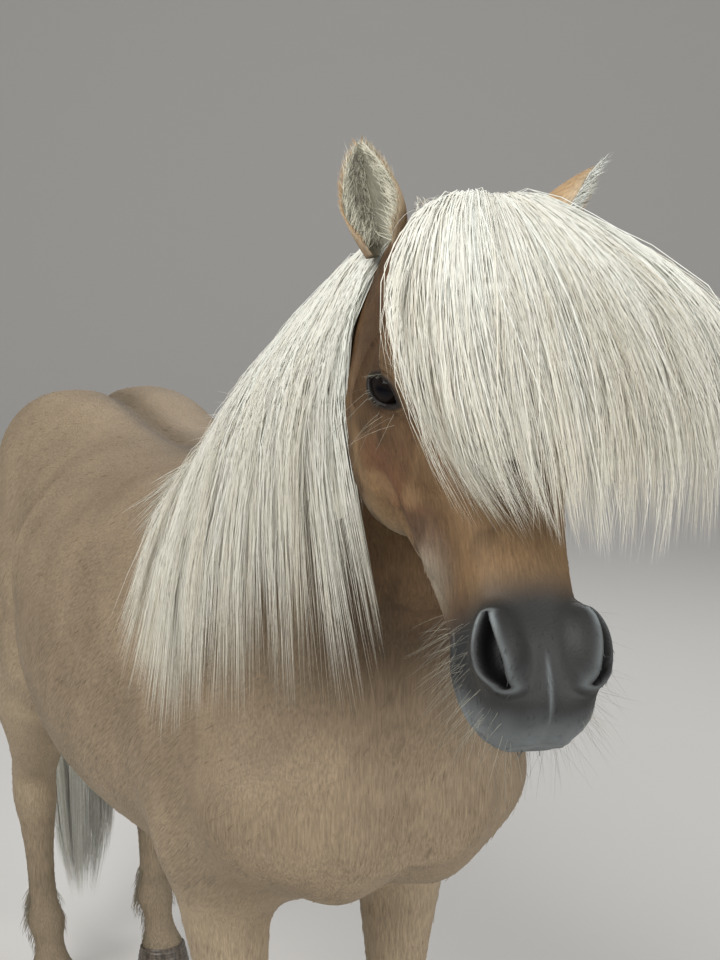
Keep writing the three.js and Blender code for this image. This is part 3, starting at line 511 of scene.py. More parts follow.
def loft_distance(rows, roundness, at, side, up):
    top, under, half, widest = read(rows, at).T
    reach = np.where(up > widest, top - widest, widest - under)
    off = outline_distance(side, up - widest, half, reach, roundness)
    return np.maximum(off, np.maximum(rows[0][0] - at, at - rows[-1][0]))


def leg_distance(rows, x, side, z):
    cx, cy, forward, back, half = read(rows, z).T
    off = outline_distance(side - cy, x - cx, half, np.where(x > cx, forward, back), 2)
    return np.maximum(off, np.maximum(rows[0][0] - z, z - rows[-1][0]))


def neck_rods():
    rods = []
    for share, thick in NECK_CHAINS:
        joints = []
        for cx, cz, vx, vz, half, sideways in read(NECK, np.array([0, 0.25, 0.5, 0.75, 1])):
            r = thick * half
            depth = math.hypot(vx - cx, vz - cz)
            down = min(max(share * depth, r), depth - r) / depth
            joints.append(((cx + (vx - cx) * down, sideways, cz + (vz - cz) * down), r))
        for (a, ra), (b, rb) in zip(joints, joints[1:]):
            rods.append((a, b, (ra, rb), NECK_BLEND))
    return rods


NECK_RODS = neck_rods()


def torso_distance(p):
    x, y, z = p.T
    side = np.abs(y)
    q = np.column_stack([x, side, z])
    d = loft_distance(TORSO, TORSO_ROUNDNESS, x, side, z)
    d = add_masses(d, q, MUSCLES)
    for leg in (FORE_LEG, HIND_LEG):
        d = blend(d, leg_distance(leg, x, side, z), LEG_BLEND)
    d = add_masses(d, q, HOLLOWS, carve)
    start, end = SPINE_GROOVE["from"], SPINE_GROOVE["to"]
    in_groove = smooth(start, start + 60, x) * smooth(end, end - 90, x)
    groove = SPINE_GROOVE["depth"] * hump(y, 0, SPINE_GROOVE["width"])
    return d + np.where(z > 760, groove, 0) * in_groove


def neck_distance(p):
    return add_masses(np.full(len(p), FAR), p, NECK_RODS)


def head_distance(p):
    q, _ = mirrored_head(p)
    d = loft_distance(HEAD, HEAD_ROUNDNESS, q[:, 0], q[:, 1], q[:, 2])
    return add_masses(add_masses(d, q, HEAD_MASSES), q, HEAD_HOLLOWS, carve)


# The whole flesh of the pony: negative inside, positive outside.
def flesh_distance(p):
    d = np.full(len(p), FAR)
    body = p[:, 2] < 1180
    d[body] = torso_distance(p[body])
    near = p[:, 0] > -200
    d[near] = blend(d[near], neck_distance(p[near]), NECK_TO_TORSO_BLEND)
    high = p[:, 2] > 780
    d[high] = blend(d[high], head_distance(p[high]), HEAD_TO_NECK_BLEND)
    return d


# Neck and torso alone: the mane may run behind the cheeks.
def trunk_distance(p):
    return blend(torso_distance(p), neck_distance(p), NECK_TO_TORSO_BLEND)


# The skin lies under the flesh's outline by the depth of the coat, less on the face.
def skin_distance(p):
    q = to_head(p)
    face = smooth(-20, 60, q[:, 0]) * smooth(-330, -240, q[:, 2])
    return flesh_distance(p) + COAT_DEPTH + (FACE_COAT_DEPTH - COAT_DEPTH) * face


def slope_of(field, p, h=1.0):
    parts = []
    for axis in range(3):
        step = np.zeros(3)
        step[axis] = h
        parts.append((field(p + step) - field(p - step)) / (2 * h))
    return np.stack(parts, axis=1)


# Moves points onto the surface where the field is zero.
def settle(field, p, rounds=3):
    for _ in range(rounds):
        g = slope_of(field, p)
        size = np.maximum((g * g).sum(1), 0.04)
        move = -(field(p) / size)[:, None] * g
        length = np.linalg.norm(move, axis=1, keepdims=True)
        p = p + move * np.minimum(1, SKIN_STEP / np.maximum(length, 1e-9))
    return p


# A grid of squares round the surface where the field is zero.
def surface_grid(field, low, high, step):
    shape = [int(math.ceil((b - a) / step)) + 1 for a, b in zip(low, high)]
    coarse = 4
    cells = [n // coarse + 2 for n in shape]
    axes = [low[k] + step * coarse * np.arange(cells[k]) for k in range(3)]
    spots = np.stack(np.meshgrid(*axes, indexing="ij"), -1).reshape(-1, 3)
    rough = field(spots).reshape(cells)
    fine = np.repeat(np.repeat(np.repeat(rough, coarse, 0), coarse, 1), coarse, 2)
    half = coarse // 2
    padded = np.pad(fine, [(half, 0)] * 3, mode="edge")
    values = padded[: shape[0], : shape[1], : shape[2]].copy()
    near = np.argwhere(np.abs(values) < step * coarse * 1.6)
    spots = np.array(low) + step * near
    values[tuple(near.T)] = field(spots)
    return net(values, np.array(low, float), step)


# The squares of a surface net: one point in each cell that the surface crosses.
def net(values, low, step):
    inside = values < 0
    corners = [(i, j, k) for i in (0, 1) for j in (0, 1) for k in (0, 1)]
    n = np.array(values.shape) - 1

    def part(array, c):
        return array[c[0] : c[0] + n[0], c[1] : c[1] + n[1], c[2] : c[2] + n[2]]

    count = sum(part(inside, c).astype(np.int8) for c in corners)
    crossed = (count > 0) & (count < 8)
    cells = np.argwhere(crossed)
    number = np.full(crossed.shape, -1, np.int64)
    number[crossed] = np.arange(len(cells))
    total = np.zeros((len(cells), 3))
    hits = np.zeros(len(cells))
    for a in corners:
        for axis in range(3):
            if a[axis]:
                continue
            b = list(a)
            b[axis] = 1
            va = values[tuple((cells + a).T)]
            vb = values[tuple((cells + b).T)]
            cut = (va < 0) != (vb < 0)
            t = np.where(cut, va / np.where(cut, va - vb, 1), 0)
            at = np.array(a, float)[None, :] + np.zeros((len(cells), 3))
            at[:, axis] = t
            total[cut] += at[cut]
            hits[cut] += 1
    points = low + step * (cells + total / hits[:, None])
    quads = []
    for axis in range(3):
        other = [k for k in range(3) if k != axis]
        low_side = [slice(None)] * 3
        high_side = [slice(None)] * 3
        low_side[axis] = slice(0, -1)
        high_side[axis] = slice(1, None)
        one, two = inside[tuple(low_side)], inside[tuple(high_side)]
        for rising, flip in (((~one) & two, True), (one & (~two), False)):
            edges = np.argwhere(rising)
            ok = (edges[:, other[0]] > 0) & (edges[:, other[1]] > 0)
            ok &= (edges[:, other[0]] < n[other[0]]) & (edges[:, other[1]] < n[other[1]])
            edges = edges[ok]
            ring = []
            for du, dv in ((1, 1), (0, 1), (0, 0), (1, 0)):
                cell = edges.copy()
                cell[:, other[0]] -= du
                cell[:, other[1]] -= dv
                ring.append(number[tuple(cell.T)])
            quad = np.stack(ring, 1)
            if flip != (axis == 1):
                quad = quad[:, ::-1]
            quads.append(quad)
    return points, np.concatenate(quads)


# Splits the marked squares into four. Their neighbours take the new points into their edges.
def refine(points, quads, others, marked):
    parts = quads[marked]
    edges = np.concatenate([np.sort(parts[:, [k, (k + 1) % 4]], 1) for k in range(4)])
    unique, inverse = np.unique(edges, axis=0, return_inverse=True)
    inverse = inverse.reshape(4, -1)
    first = len(points)
    middles = points[unique].mean(1)
    centres = points[parts].mean(1)
    centre_number = first + len(unique) + np.arange(len(parts))
    mids = [first + inverse[k] for k in range(4)]
    small = np.concatenate([
        np.stack([parts[:, k], mids[k], centre_number, mids[(k + 3) % 4]], 1) for k in range(4)
    ])
    points = np.concatenate([points, middles, centres])
    split = {(int(a), int(b)): first + i for i, (a, b) in enumerate(unique)}
    keep = quads[~marked]
    touched_points = np.zeros(len(points), bool)
    touched_points[unique.ravel()] = True
    maybe = touched_points[keep].sum(1) >= 2
    plain = [keep[~maybe]]
    loops = [list(map(int, q)) for q in keep[maybe]] + others
    grown = []
    for loop in loops:
        new = []
        for a, b in zip(loop, loop[1:] + loop[:1]):
            new.append(a)
            middle = split.get((min(a, b), max(a, b)))
            if middle is not None:
                new.append(middle)
        grown.append(new)
    plain.append(np.array([g for g in grown if len(g) == 4], np.int64).reshape(-1, 4))
    rest = [g for g in grown if len(g) > 4]
    return points, np.concatenate([small] + plain), rest


def eye_ways():
    out = unit(np.array(EYE["out"], float))
    along = np.array(EYE["along"], float)
    along = unit(along - out * (along @ out))
    return out, along, -np.cross(out, along)


# Where a point in the head's frame lies by the eye: along it, up from it, out of it, and how far
# it is outside the almond of the lids.
def eye_place(q):
    out, along, up = eye_ways()
    away = q - np.array(EYE["centre"])
    a, b, h = away @ along, away @ up, away @ out
    u = a / EYE["reach"]
    over = []
    for way, height in ((1, EYE["rise"]), (-1, EYE["fall"])):
        steep = np.sqrt(1 + (2 * height * u / EYE["reach"]) ** 2)
        over.append((way * b - height * (1 - u**2)) / steep)
    return a, b, h, np.maximum(*over), out


# How far a point in the head's frame is from the nostril's rim: negative inside.
def nostril_place(q):
    out = unit(np.array(NOSTRIL_OUT, float))
    rows = np.array(NOSTRIL, float)
    t = np.clip(q[:, 0], rows[0, 0], rows[-1, 0])
    values = read(rows, t)
    line = np.column_stack([t, values[:, :2]])
    chord = unit(rows[-1, :3] - rows[0, :3])
    across = unit(np.cross(out, chord))
    away = q - line
    side = away @ across
    beyond = np.abs(q[:, 0] - t)
    return np.hypot(side, beyond * 1.4) - np.maximum(values[:, 2], 0.5), out, away @ out


def mouth_place(q):
    share = np.clip((MOUTH["middle"] - q[:, 0]) / (MOUTH["middle"] - MOUTH["corner"]), 0, 1.3)
    height = MOUTH["height"] + (MOUTH["corner_height"] - MOUTH["height"]) * share
    return q[:, 2] - height


# Lids, folds, nostrils and lips, as moves of the skin's points in the head's frame.
def shape_face(p):
    q, sign = mirrored_head(p)
    on_head = (q[:, 0] > 60) & (q[:, 2] > -140)
    f = q[on_head]
    a, b, h, outside, out = eye_place(f)
    flat = np.hypot(a, b)
    near = (flat < 46) & (h > -6)
    ball = np.sqrt(np.maximum(EYE["radius"] ** 2 - flat**2, 0))
    thick = EYE["lid"] * (1 - np.exp(-np.maximum(outside, 0) / 1.6))
    shell = np.sqrt(np.maximum((EYE["radius"] + 0.2 + thick) ** 2 - flat**2, 0))
    above = smooth(-2, 3, b)
    fold = sum(
        height * hump(outside, place, half) * (above if upper else 1 - above)
        for height, place, half, upper in LID_FOLDS
    ) * smooth(30, 22, flat)
    lid = np.where(outside > 0, -blend(-(h + fold), -shell, 3.0), ball - 3.2 * (-outside))
    lid = np.where(outside > 0, lid, np.maximum(lid, h - 26))
    f = f + np.where(near, lid - h, 0)[:, None] * out
    rim, out, _ = nostril_place(f)
    by_nose = (f[:, 0] > 330) & (f[:, 2] > -60)
    hollow = NOSTRIL_DEPTH * (1 - np.exp(np.minimum(rim, 0) / 3.0))
    wing = 1.7 * hump(rim, 2.6, 2.4) - hump(rim, 8, 2.2)
    f = f + np.where(by_nose, wing - hollow, 0)[:, None] * out
    line = mouth_place(f)
    at_mouth = smooth(MOUTH["corner"] - 6, MOUTH["corner"] + 6, f[:, 0])
    lips = -3.2 * hump(line, 0, 1.5)
    lips += 1.3 * hump(line, 5, 2.8) + 1.2 * hump(line, -5, 2.8)
    way = np.column_stack([smooth(360, 425, f[:, 0]) * 1.6, np.minimum(f[:, 1] / 20, 1), 0 * line])
    f = f + (at_mouth * lips)[:, None] * unit(way)
    q[on_head] = f
    q[:, 1] *= sign
    return from_head(q)


# How near points are to a line of folded skin: 1 on it, fading past its half width and its ends.
def line_share(a, b, points, half):
    nearest = np.full(len(a), 1e9)
    for (ax, ay), (bx, by) in zip(points, points[1:]):
        run = (bx - ax) ** 2 + (by - ay) ** 2
        t = np.clip(((a - ax) * (bx - ax) + (b - ay) * (by - ay)) / run, 0, 1)
        nearest = np.minimum(nearest, np.hypot(a - ax - t * (bx - ax), b - ay - t * (by - ay)))
    ends = [np.hypot(a - points[k][0], b - points[k][1]) for k in (0, -1)]
    fade = smooth(0.2, 2.5, ends[0] / half) * smooth(0.2, 2.5, ends[1] / half)
    return hump(nearest, 0, half) * fade


def in_head(p, q, ahead, above):
    return (q[:, 0] > ahead) & (q[:, 2] > above) & (p[:, 2] > HEAD_ABOVE)


# How far the folds and ridges lower the skin at its points.
def fold_depth(p):
    q, _ = mirrored_head(p)
    on_head = in_head(p, q, 30, -230)
    depth = np.zeros(len(p))
    for folds, at, near_side in (
        (BODY_FOLDS, p, smooth(60, 110, np.abs(p[:, 1])) * ~on_head),
        (HEAD_FOLDS, q, smooth(22, 36, q[:, 1]) * on_head),
    ):
        for points, deep, half in folds:
            depth += deep * near_side * line_share(at[:, 0], at[:, 2], points, half)
    return depth


def within(q, place, reach):
    return np.linalg.norm(q - np.array(place), axis=1) < reach


# The whole skin in one net of squares, refined over head and legs, then round eyes, nose and lips.
def build_skin():
    points, quads = surface_grid(skin_distance, *SKIN_SPAN, SKIN_STEP)
    points = settle(skin_distance, points)
    others = []
    for level in range(3):
        centre = points[quads].mean(1)
        q, _ = mirrored_head(centre)
        spread = points[quads].max(1) - points[quads].min(1)
        size = SKIN_STEP / 2**level
        whole = spread.max(1) > 0.55 * size
        if level == 0:
            wanted = in_head(centre, q, -30, -250) | (centre[:, 2] < 330)
        elif level == 1:
            wanted = (q[:, 0] > 322) | within(q, EYE["centre"], 62)
        else:
            lips = (np.abs(mouth_place(q)) < 11) & (q[:, 0] > MOUTH["corner"] - 10)
            wanted = within(q, EYE["centre"], 44) | within(q, NOSTRIL_MIDDLE, 42) | lips
        wanted &= whole & (centre[:, 2] > 40)
        points, quads, others = refine(points, quads, others, wanted)
        points = settle(skin_distance, points, 2)
    ways = unit(slope_of(skin_distance, points))
    points = points - ways * fold_depth(points)[:, None]
    return shape_face(points), quads, others


# Soft patches between 0 and 1, of a given size in millimetres.
def mottle(p, patch):
    ways = ((1.0, 0.31, 0.52), (-0.42, 0.93, 0.37), (0.23, -0.58, 0.97), (0.71, 0.64, -0.55))
    total = np.zeros(len(p))
    for number, way in enumerate(ways):
        place = p @ np.array(way) / patch
        total += np.sin(place + 2.1 * number + 1.3 * np.sin(0.7 * place + p[:, number % 3] / patch))
    return np.clip(0.5 + total / 5.0, 0, 1)


def face_share(q):
    return smooth(-40, 30, q[:, 0]) * smooth(-290, -215, q[:, 2])


# Markings and some painted light and shade on skin and coat, by a point's place: its colour and how bare
# the skin is there.
def markings_and_painted_light(p):
    x, y, z = p.T
    q, _ = mirrored_head(p)
    t, side, up = q.T
    light = 0.75 * smooth(700, 480, z) + 0.35 * smooth(-200, -600, x)
    body = mix(COAT, COAT_LIGHT, light.clip(0, 1))
    leg = smooth(420, 200, z)[:, None]
    body = body * (1 - 0.35 * leg)
    # Painted shade in the groove along the spine.
    groove = hump(y, 0, 26) * smooth(760, 900, z) * smooth(0, -200, x)
    body = body * (1 - 0.45 * groove)[:, None]
    face = np.array(FACE) + np.zeros((len(p), 3))
    cheek = smooth(60, 150, t) * smooth(-60, -150, up) * smooth(300, 200, t)
    face = mix(face, FACE_LIGHT, 0.4 * cheek)
    crest = hump(up + 92, 0.12 * (t - 200), 17) * smooth(150, 190, t)
    face = mix(face, FACE_RED, 0.55 * crest * smooth(300, 255, t))
    # Painted shade of the forelock over the brow.
    brow_shade = hump(t, 90, 45) * smooth(-110, -60, up)
    face = mix(face, FACE_DARK, 0.5 * brow_shade)
    bridge = smooth(160, 270, t) * smooth(-66, -38, up)
    face = mix(face, FACE_LIGHT, 0.6 * bridge)
    # A painted highlight along the lower edge of the jaw, where its side turns under.
    jaw_edge = read(HEAD, t)[:, 1] + 20
    jaw_highlight = hump(up, jaw_edge, 17) * smooth(30, 90, t) * smooth(335, 270, t)
    face = mix(face, JAW_PAINTED_HIGHLIGHT, 0.8 * jaw_highlight)
    corner = np.exp(-(((t - 288) / 32) ** 2) - ((up + 88) / 20) ** 2)
    face = mix(face, CORNER_LIGHT, 0.6 * corner)
    gold = smooth(0.5, 0.85, mottle(p, 17.0)) * smooth(60, 150, t) * smooth(40, 66, side)
    face = mix(face, FACE_LIGHT, 0.5 * gold)
    dusk = smooth(0.5, 0.9, mottle(p + 400, 13.0)) * smooth(310, 270, t)
    face = mix(face, FACE_DARK, 0.6 * dusk)
    on_face = face_share(q)
    # The throat under the jaw: partly the head's darker coat carried down, partly painted shade under
    # the jaw.
    throat = smooth(190, 262, x) * smooth(700, 860, z) * smooth(1190, 1130, z)
    body = mix(body, FACE_DARK, 0.88 * throat)
    dapple = 0.92 + 0.16 * mottle(p, 46.0)
    body = body * dapple[:, None]
    colour = mix(body, face, on_face)
    # Painted shade in the folds of the skin and painted light on its ridges, by their depth.
    colour = colour * (1 - 0.02 * np.clip(fold_depth(p), -4, 9))[:, None]
    muzzle = smooth(308, 352, t + 0.22 * (up + 60)) * on_face * smooth(-185, -150, up)
    colour = mix(colour, BARE_SKIN, 0.95 * muzzle)
    rim = nostril_place(q)[0]
    frost = hump(rim, 2.6, 1.8) * smooth(333, 350, t) * smooth(-62, -40, up)
    frost *= 0.45 + 0.55 * smooth(372, 350, t)
    lip = smooth(406, 448, t - 0.9 * (up + 40) + 6 * (mottle(p, 9.0) - 0.5))
    middle = hump(side, 0, 1.6) * smooth(372, 392, t) * smooth(-72, -60, up)
    pale = np.maximum.reduce([0.7 * frost, 0.55 * lip, 0.4 * middle])
    pale = pale * on_face * smooth(-185, -150, up)
    colour = mix(colour, FROST, np.clip(pale, 0, 1))
    # Inside the nostril: its dark skin, with painted shade of the opening on it.
    inside = smooth(1.0, -2.0, rim) * smooth(340, 350, t) * on_face
    colour = mix(colour, NOSTRIL_SKIN_AND_SHADE, 0.97 * inside)
    _, _, h, outside, _ = eye_place(q)
    by_eye = (h > -12) & (t < 190)
    shadow = np.where(by_eye, hump(np.maximum(outside, 0), 0, 10), 0)
    colour = mix(colour, FACE_DARK, 0.6 * shadow)
    lids = np.where(by_eye, smooth(5.5, 1.6, outside), 0)
    colour = mix(colour, LID_SKIN, 0.92 * lids)
    bare = np.clip(np.maximum(muzzle, lids), 0, 1)
    return colour, bare


# The lie of the coat at a point: down and back over the body, along the face to the muzzle.
def coat_way(p):
    q, sign = mirrored_head(p)
    way = mix(COAT_WAYS["body"], COAT_WAYS["legs"], smooth(640, 420, p[:, 2]))
    way = mix(way, COAT_WAYS["neck"], smooth(40, 160, p[:, 0]) * smooth(760, 900, p[:, 2]))
    along = np.column_stack([
        np.full(len(p), 0.9),
        0.25 * sign,
        -0.45 * smooth(0, 120, -q[:, 2]),
    ]) @ HEAD_WAYS.T
    return unit(mix(way, along, face_share(q)))


# Place on an unwrap of the skin: body, head and each leg in a field of its own.
def unwrap(p):
    x, y, z = p.T
    q = to_head(p)
    on_face = in_head(p, q, 0, -240)
    turn_head = np.arctan2(q[:, 1], q[:, 2] + 80) / (2 * np.pi) + 0.5
    u_head = 0.66 + 0.33 * np.clip(q[:, 0] / 440, 0, 1)
    turn_body = np.arctan2(y, z - 740) / (2 * np.pi) + 0.5
    u_body = 0.01 + 0.63 * np.clip((x + 840) / 1240, 0, 1)
    v_body = 0.3 + 0.69 * turn_body
    u = np.where(on_face, u_head, u_body)
    v = np.where(on_face, 0.3 + 0.69 * turn_head, v_body)
    leg = z < LEG_FIELD_BELOW
    which = (x < MID_BODY_X) * 2 + (y > 0)
    cx = np.where(x < MID_BODY_X, -720, 80)
    turn_leg = np.arctan2(np.abs(y) - 94, x - cx) / (2 * np.pi) + 0.5
    u = np.where(leg, (which + 0.02 + 0.95 * turn_leg) / 4, u)
    v = np.where(leg, 0.01 + 0.27 * np.clip(z / LEG_FIELD_BELOW, 0, 1), v)
    return np.column_stack([u, v])


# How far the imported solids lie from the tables, read off the right eye.
def table_shift():
    low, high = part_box("eye_right")
    middle = 1000 * np.array((low + high) / 2)
    x, y, z = EYE["centre"]
    return middle - from_head([x, -y, z])


SHIFT = table_shift()
# The kind of a mesh layer and the name of its values, by how many numbers each point has.
LAYER_KINDS = {1: ("FLOAT", "value"), 3: ("FLOAT_VECTOR", "vector"), 4: ("FLOAT_COLOR", "color")}


def to_scene(p):
    return (p + SHIFT) / 1000


def polygons(quads, others=()):
    sizes = [4] * len(quads) + [len(loop) for loop in others]
    starts = np.cumsum([0] + sizes[:-1])
    return np.concatenate([np.asarray(quads).ravel(), *others]), starts


def add_to_scene(name, data):
    thing = bpy.data.objects.new(name, data)
    bpy.context.scene.collection.objects.link(thing)
    return thing


# A piece of four-cornered faces and others, with its colours of markings and painted light, layers,
# unwrap and corner normals.
def make_mesh(name, points, quads, material, colours=None, layers=None, uv=None, normals=None,
              others=()):
    loops, starts = polygons(quads, others)
    mesh = bpy.data.meshes.new(name)
    mesh.vertices.add(len(points))
    mesh.vertices.foreach_set("co", to_scene(points).astype(np.float32).ravel())
    mesh.loops.add(len(loops))
    mesh.loops.foreach_set("vertex_index", loops.astype(np.int32))
    mesh.polygons.add(len(starts))
    mesh.polygons.foreach_set("loop_start", starts.astype(np.int32))
    mesh.update(calc_edges=True)
    mesh.polygons.foreach_set("use_smooth", np.ones(len(starts), bool))
    layers = dict(layers or {})
    if colours is not None:
        layers = {"markings_and_painted_light": np.column_stack([colours, np.ones(len(points))]), **layers}
    for key, values in layers.items():
        kind, field = LAYER_KINDS[values.size // len(points)]
        layer = mesh.attributes.new(key, kind, "POINT")
        layer.data.foreach_set(field, values.astype(np.float32).ravel())
    if uv is not None:
        layer = mesh.uv_layers.new(name="OFBake")
        layer.data.foreach_set("uv", uv[loops].astype(np.float32).ravel())
    mesh.validate()
    if normals is not None:
        mesh.normals_split_custom_set(normals.astype(np.float32).tolist())
    piece = add_to_scene(name, mesh)
    mesh.materials.append(material)
    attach(piece, "root")
    return piece


# Squares between the points of a grid, down its rows first, or across its rows first.
def grid_quads(here, ahead, across=False):
    ring = [here[:-1], here[1:], ahead[1:], ahead[:-1]]
    if across:
        ring = [ring[0], ring[3], ring[2], ring[1]]
    return np.stack(ring, -1).reshape(-1, 4)


# The squares round a tube of rings.
def tube_quads(rows, columns, across=False):
    index = np.arange(rows * columns).reshape(rows, columns)
    return grid_quads(index, np.roll(index, -1, axis=1), across)


# The faces of a closed shell of two such grids.
def shell_quads(rows, columns, across=False):
    index = np.arange(rows * columns).reshape(rows, columns)
    shift = rows * columns
    front = grid_quads(index[:, :-1], index[:, 1:], across)
    quads = [front, front[:, ::-1] + shift]
    for line, turned in ((index[:, 0], 1), (index[:, -1], 0), (index[0], 0), (index[-1], 1)):
        strip = np.stack([line[:-1], line[1:], line[1:] + shift, line[:-1] + shift], 1)
        quads.append(strip if bool(turned) == across else strip[:, ::-1])
    return np.concatenate(quads)


# Closed strands with three sides and a pointed tip, as one mesh. The normals of the two outer sides
# lean towards the way out of the whole head of hair, so that it is shaded as one soft surface, and
# those of the inner side lean the other way.
def strand_mesh(name, paths, half, out, colours, material, soft=0.9):
    n, k, _ = paths.shape
    ahead = np.concatenate([paths[:, 1:], paths[:, -1:]], 1)
    behind = np.concatenate([paths[:, :1], paths[:, :-1]], 1)
    along = unit(ahead - behind)
    side = unit(np.cross(along, out))
    up = np.cross(side, along)
    rings, outer, inner = [], [], []
    for angle in (90, 210, 330):
        c, s = math.cos(math.radians(angle)), math.sin(math.radians(angle))
        rings.append(paths + half[..., None] * (c * side + STRAND_FLATNESS * s * up))
        own = (1 - soft) * (c * side + s * up)
        outer.append(unit(own + soft * out))
        inner.append(unit(own - soft * out))
    body = np.stack(rings, 2)[:, : k - 1]
    points = np.concatenate([body.reshape(n, -1, 3), paths[:, -1:]], 1)
    tips = unit(out[:, -1:])
    ways = [np.stack(part, 2)[:, : k - 1].reshape(n, -1, 3) for part in (outer, inner)]
    ways = [np.concatenate([ways[0], tips], 1), np.concatenate([ways[1], -tips], 1)]
    count = 3 * (k - 1) + 1
    faces = []
    for r in range(k - 2):
        for i in range(3):
            j = (i + 1) % 3
            faces.append([3 * r + i, 3 * r + 3 + i, 3 * r + 3 + j, 3 * r + j])
    last, tip = 3 * (k - 2), 3 * (k - 1)
    quads = np.array(faces)
    threes = np.array([[last + (i + 1) % 3, last + i, tip] for i in range(3)] + [[0, 1, 2]])
    normals = []
    for part, on_inner in ((quads, np.arange(len(quads)) % 3 == 1), (threes, np.arange(4) == 1)):
        chosen = np.where(on_inner[:, None, None], ways[1][:, part], ways[0][:, part])
        normals.append(chosen.reshape(-1, 3))
    shift = count * np.arange(n)[:, None, None]
    quads = (quads + shift).reshape(-1, 4)
    threes = (threes + shift).reshape(-1, 3)
    share = np.concatenate([np.repeat(np.linspace(0, 1, k - 1), 3), [1.0]])
    turn = np.concatenate([np.tile([0, 0.5, 1.0], k - 1), [0.5]])
    root = unwrap(paths[:, 0])[:, None, :]
    patch = 0.003 * np.stack([turn, share], 1)[None]
    uv = (root + patch).reshape(-1, 2)
    body_colours = np.repeat(colours[:, : k - 1], 3, axis=1)
    every = np.concatenate([body_colours, colours[:, -1:]], 1).reshape(-1, 3)
    return make_mesh(name, points.reshape(-1, 3), quads, material, every, None, uv,
                     np.concatenate(normals), threes)


# Pushes hair out again where it would sink into the flesh. Its roots stay where they are.
def lift_clear(paths, space, first=2, field=flesh_distance):
    n, k, _ = paths.shape
    flat = paths[:, first:].reshape(-1, 3)
    room = space[:, first:].reshape(-1)
    for _ in range(2):
        d = field(flat)
        low = d < room
        if not low.any():
            break
        spots = flat[low]
        way = unit(slope_of(field, spots, 2.0))
        flat[low] = spots + way * (room[low] - d[low])[:, None]
    paths = paths.copy()
    paths[:, first:] = flat.reshape(n, k - first, 3)
    return paths


# Points on the sheet between guide lines: u runs from the first line to the last, v from its roots.
def sheet_points(guides, u, v):
    guides = np.asarray(guides, float)
    shares = np.linspace(0, 1, guides.shape[1])
    flat_v = v.ravel()
    lines = np.stack([read(np.column_stack([shares, g]), flat_v) for g in guides], 1)
    flat_u = np.clip(u, 0, 1).ravel()
    across = np.linspace(0, 1, len(guides))
    place = flat_u * (len(guides) - 1)
    i = np.clip(place.astype(int), 0, len(guides) - 2)
    t = (place - i)[:, None]
    before, after = neighbours(len(guides))
    gap = (across[after] - across[before])[None, :, None]
    slopes = (lines[:, after] - lines[:, before]) / gap / (len(guides) - 1)
    rows = np.arange(len(flat_u))
    points = curve(lines[rows, i], lines[rows, i + 1], slopes[rows, i], slopes[rows, i + 1], t)
    return points.reshape(*u.shape, 3)


# The ways across a sheet and out of it.
def sheet_frame(guides, u, v):
    d = 0.02
    left, right = (sheet_points(guides, np.clip(u + move, 0, 1), v) for move in (-d, d))
    high, low = (sheet_points(guides, u, np.clip(v + move, 0, 1)) for move in (-d, d))
    return unit(right - left), unit(np.cross(low - high, right - left))


# Random values along a row, with smooth steps between them.
def soft_noise(random, u, steps):
    values = random.uniform(0, 1, steps + 2)
    place = np.clip(u, 0, 1) * steps
    i = np.minimum(place.astype(int), steps)
    t = smooth(0, 1, place - i)
    return values[i] * (1 - t) + values[np.minimum(i + 1, steps + 1)] * t


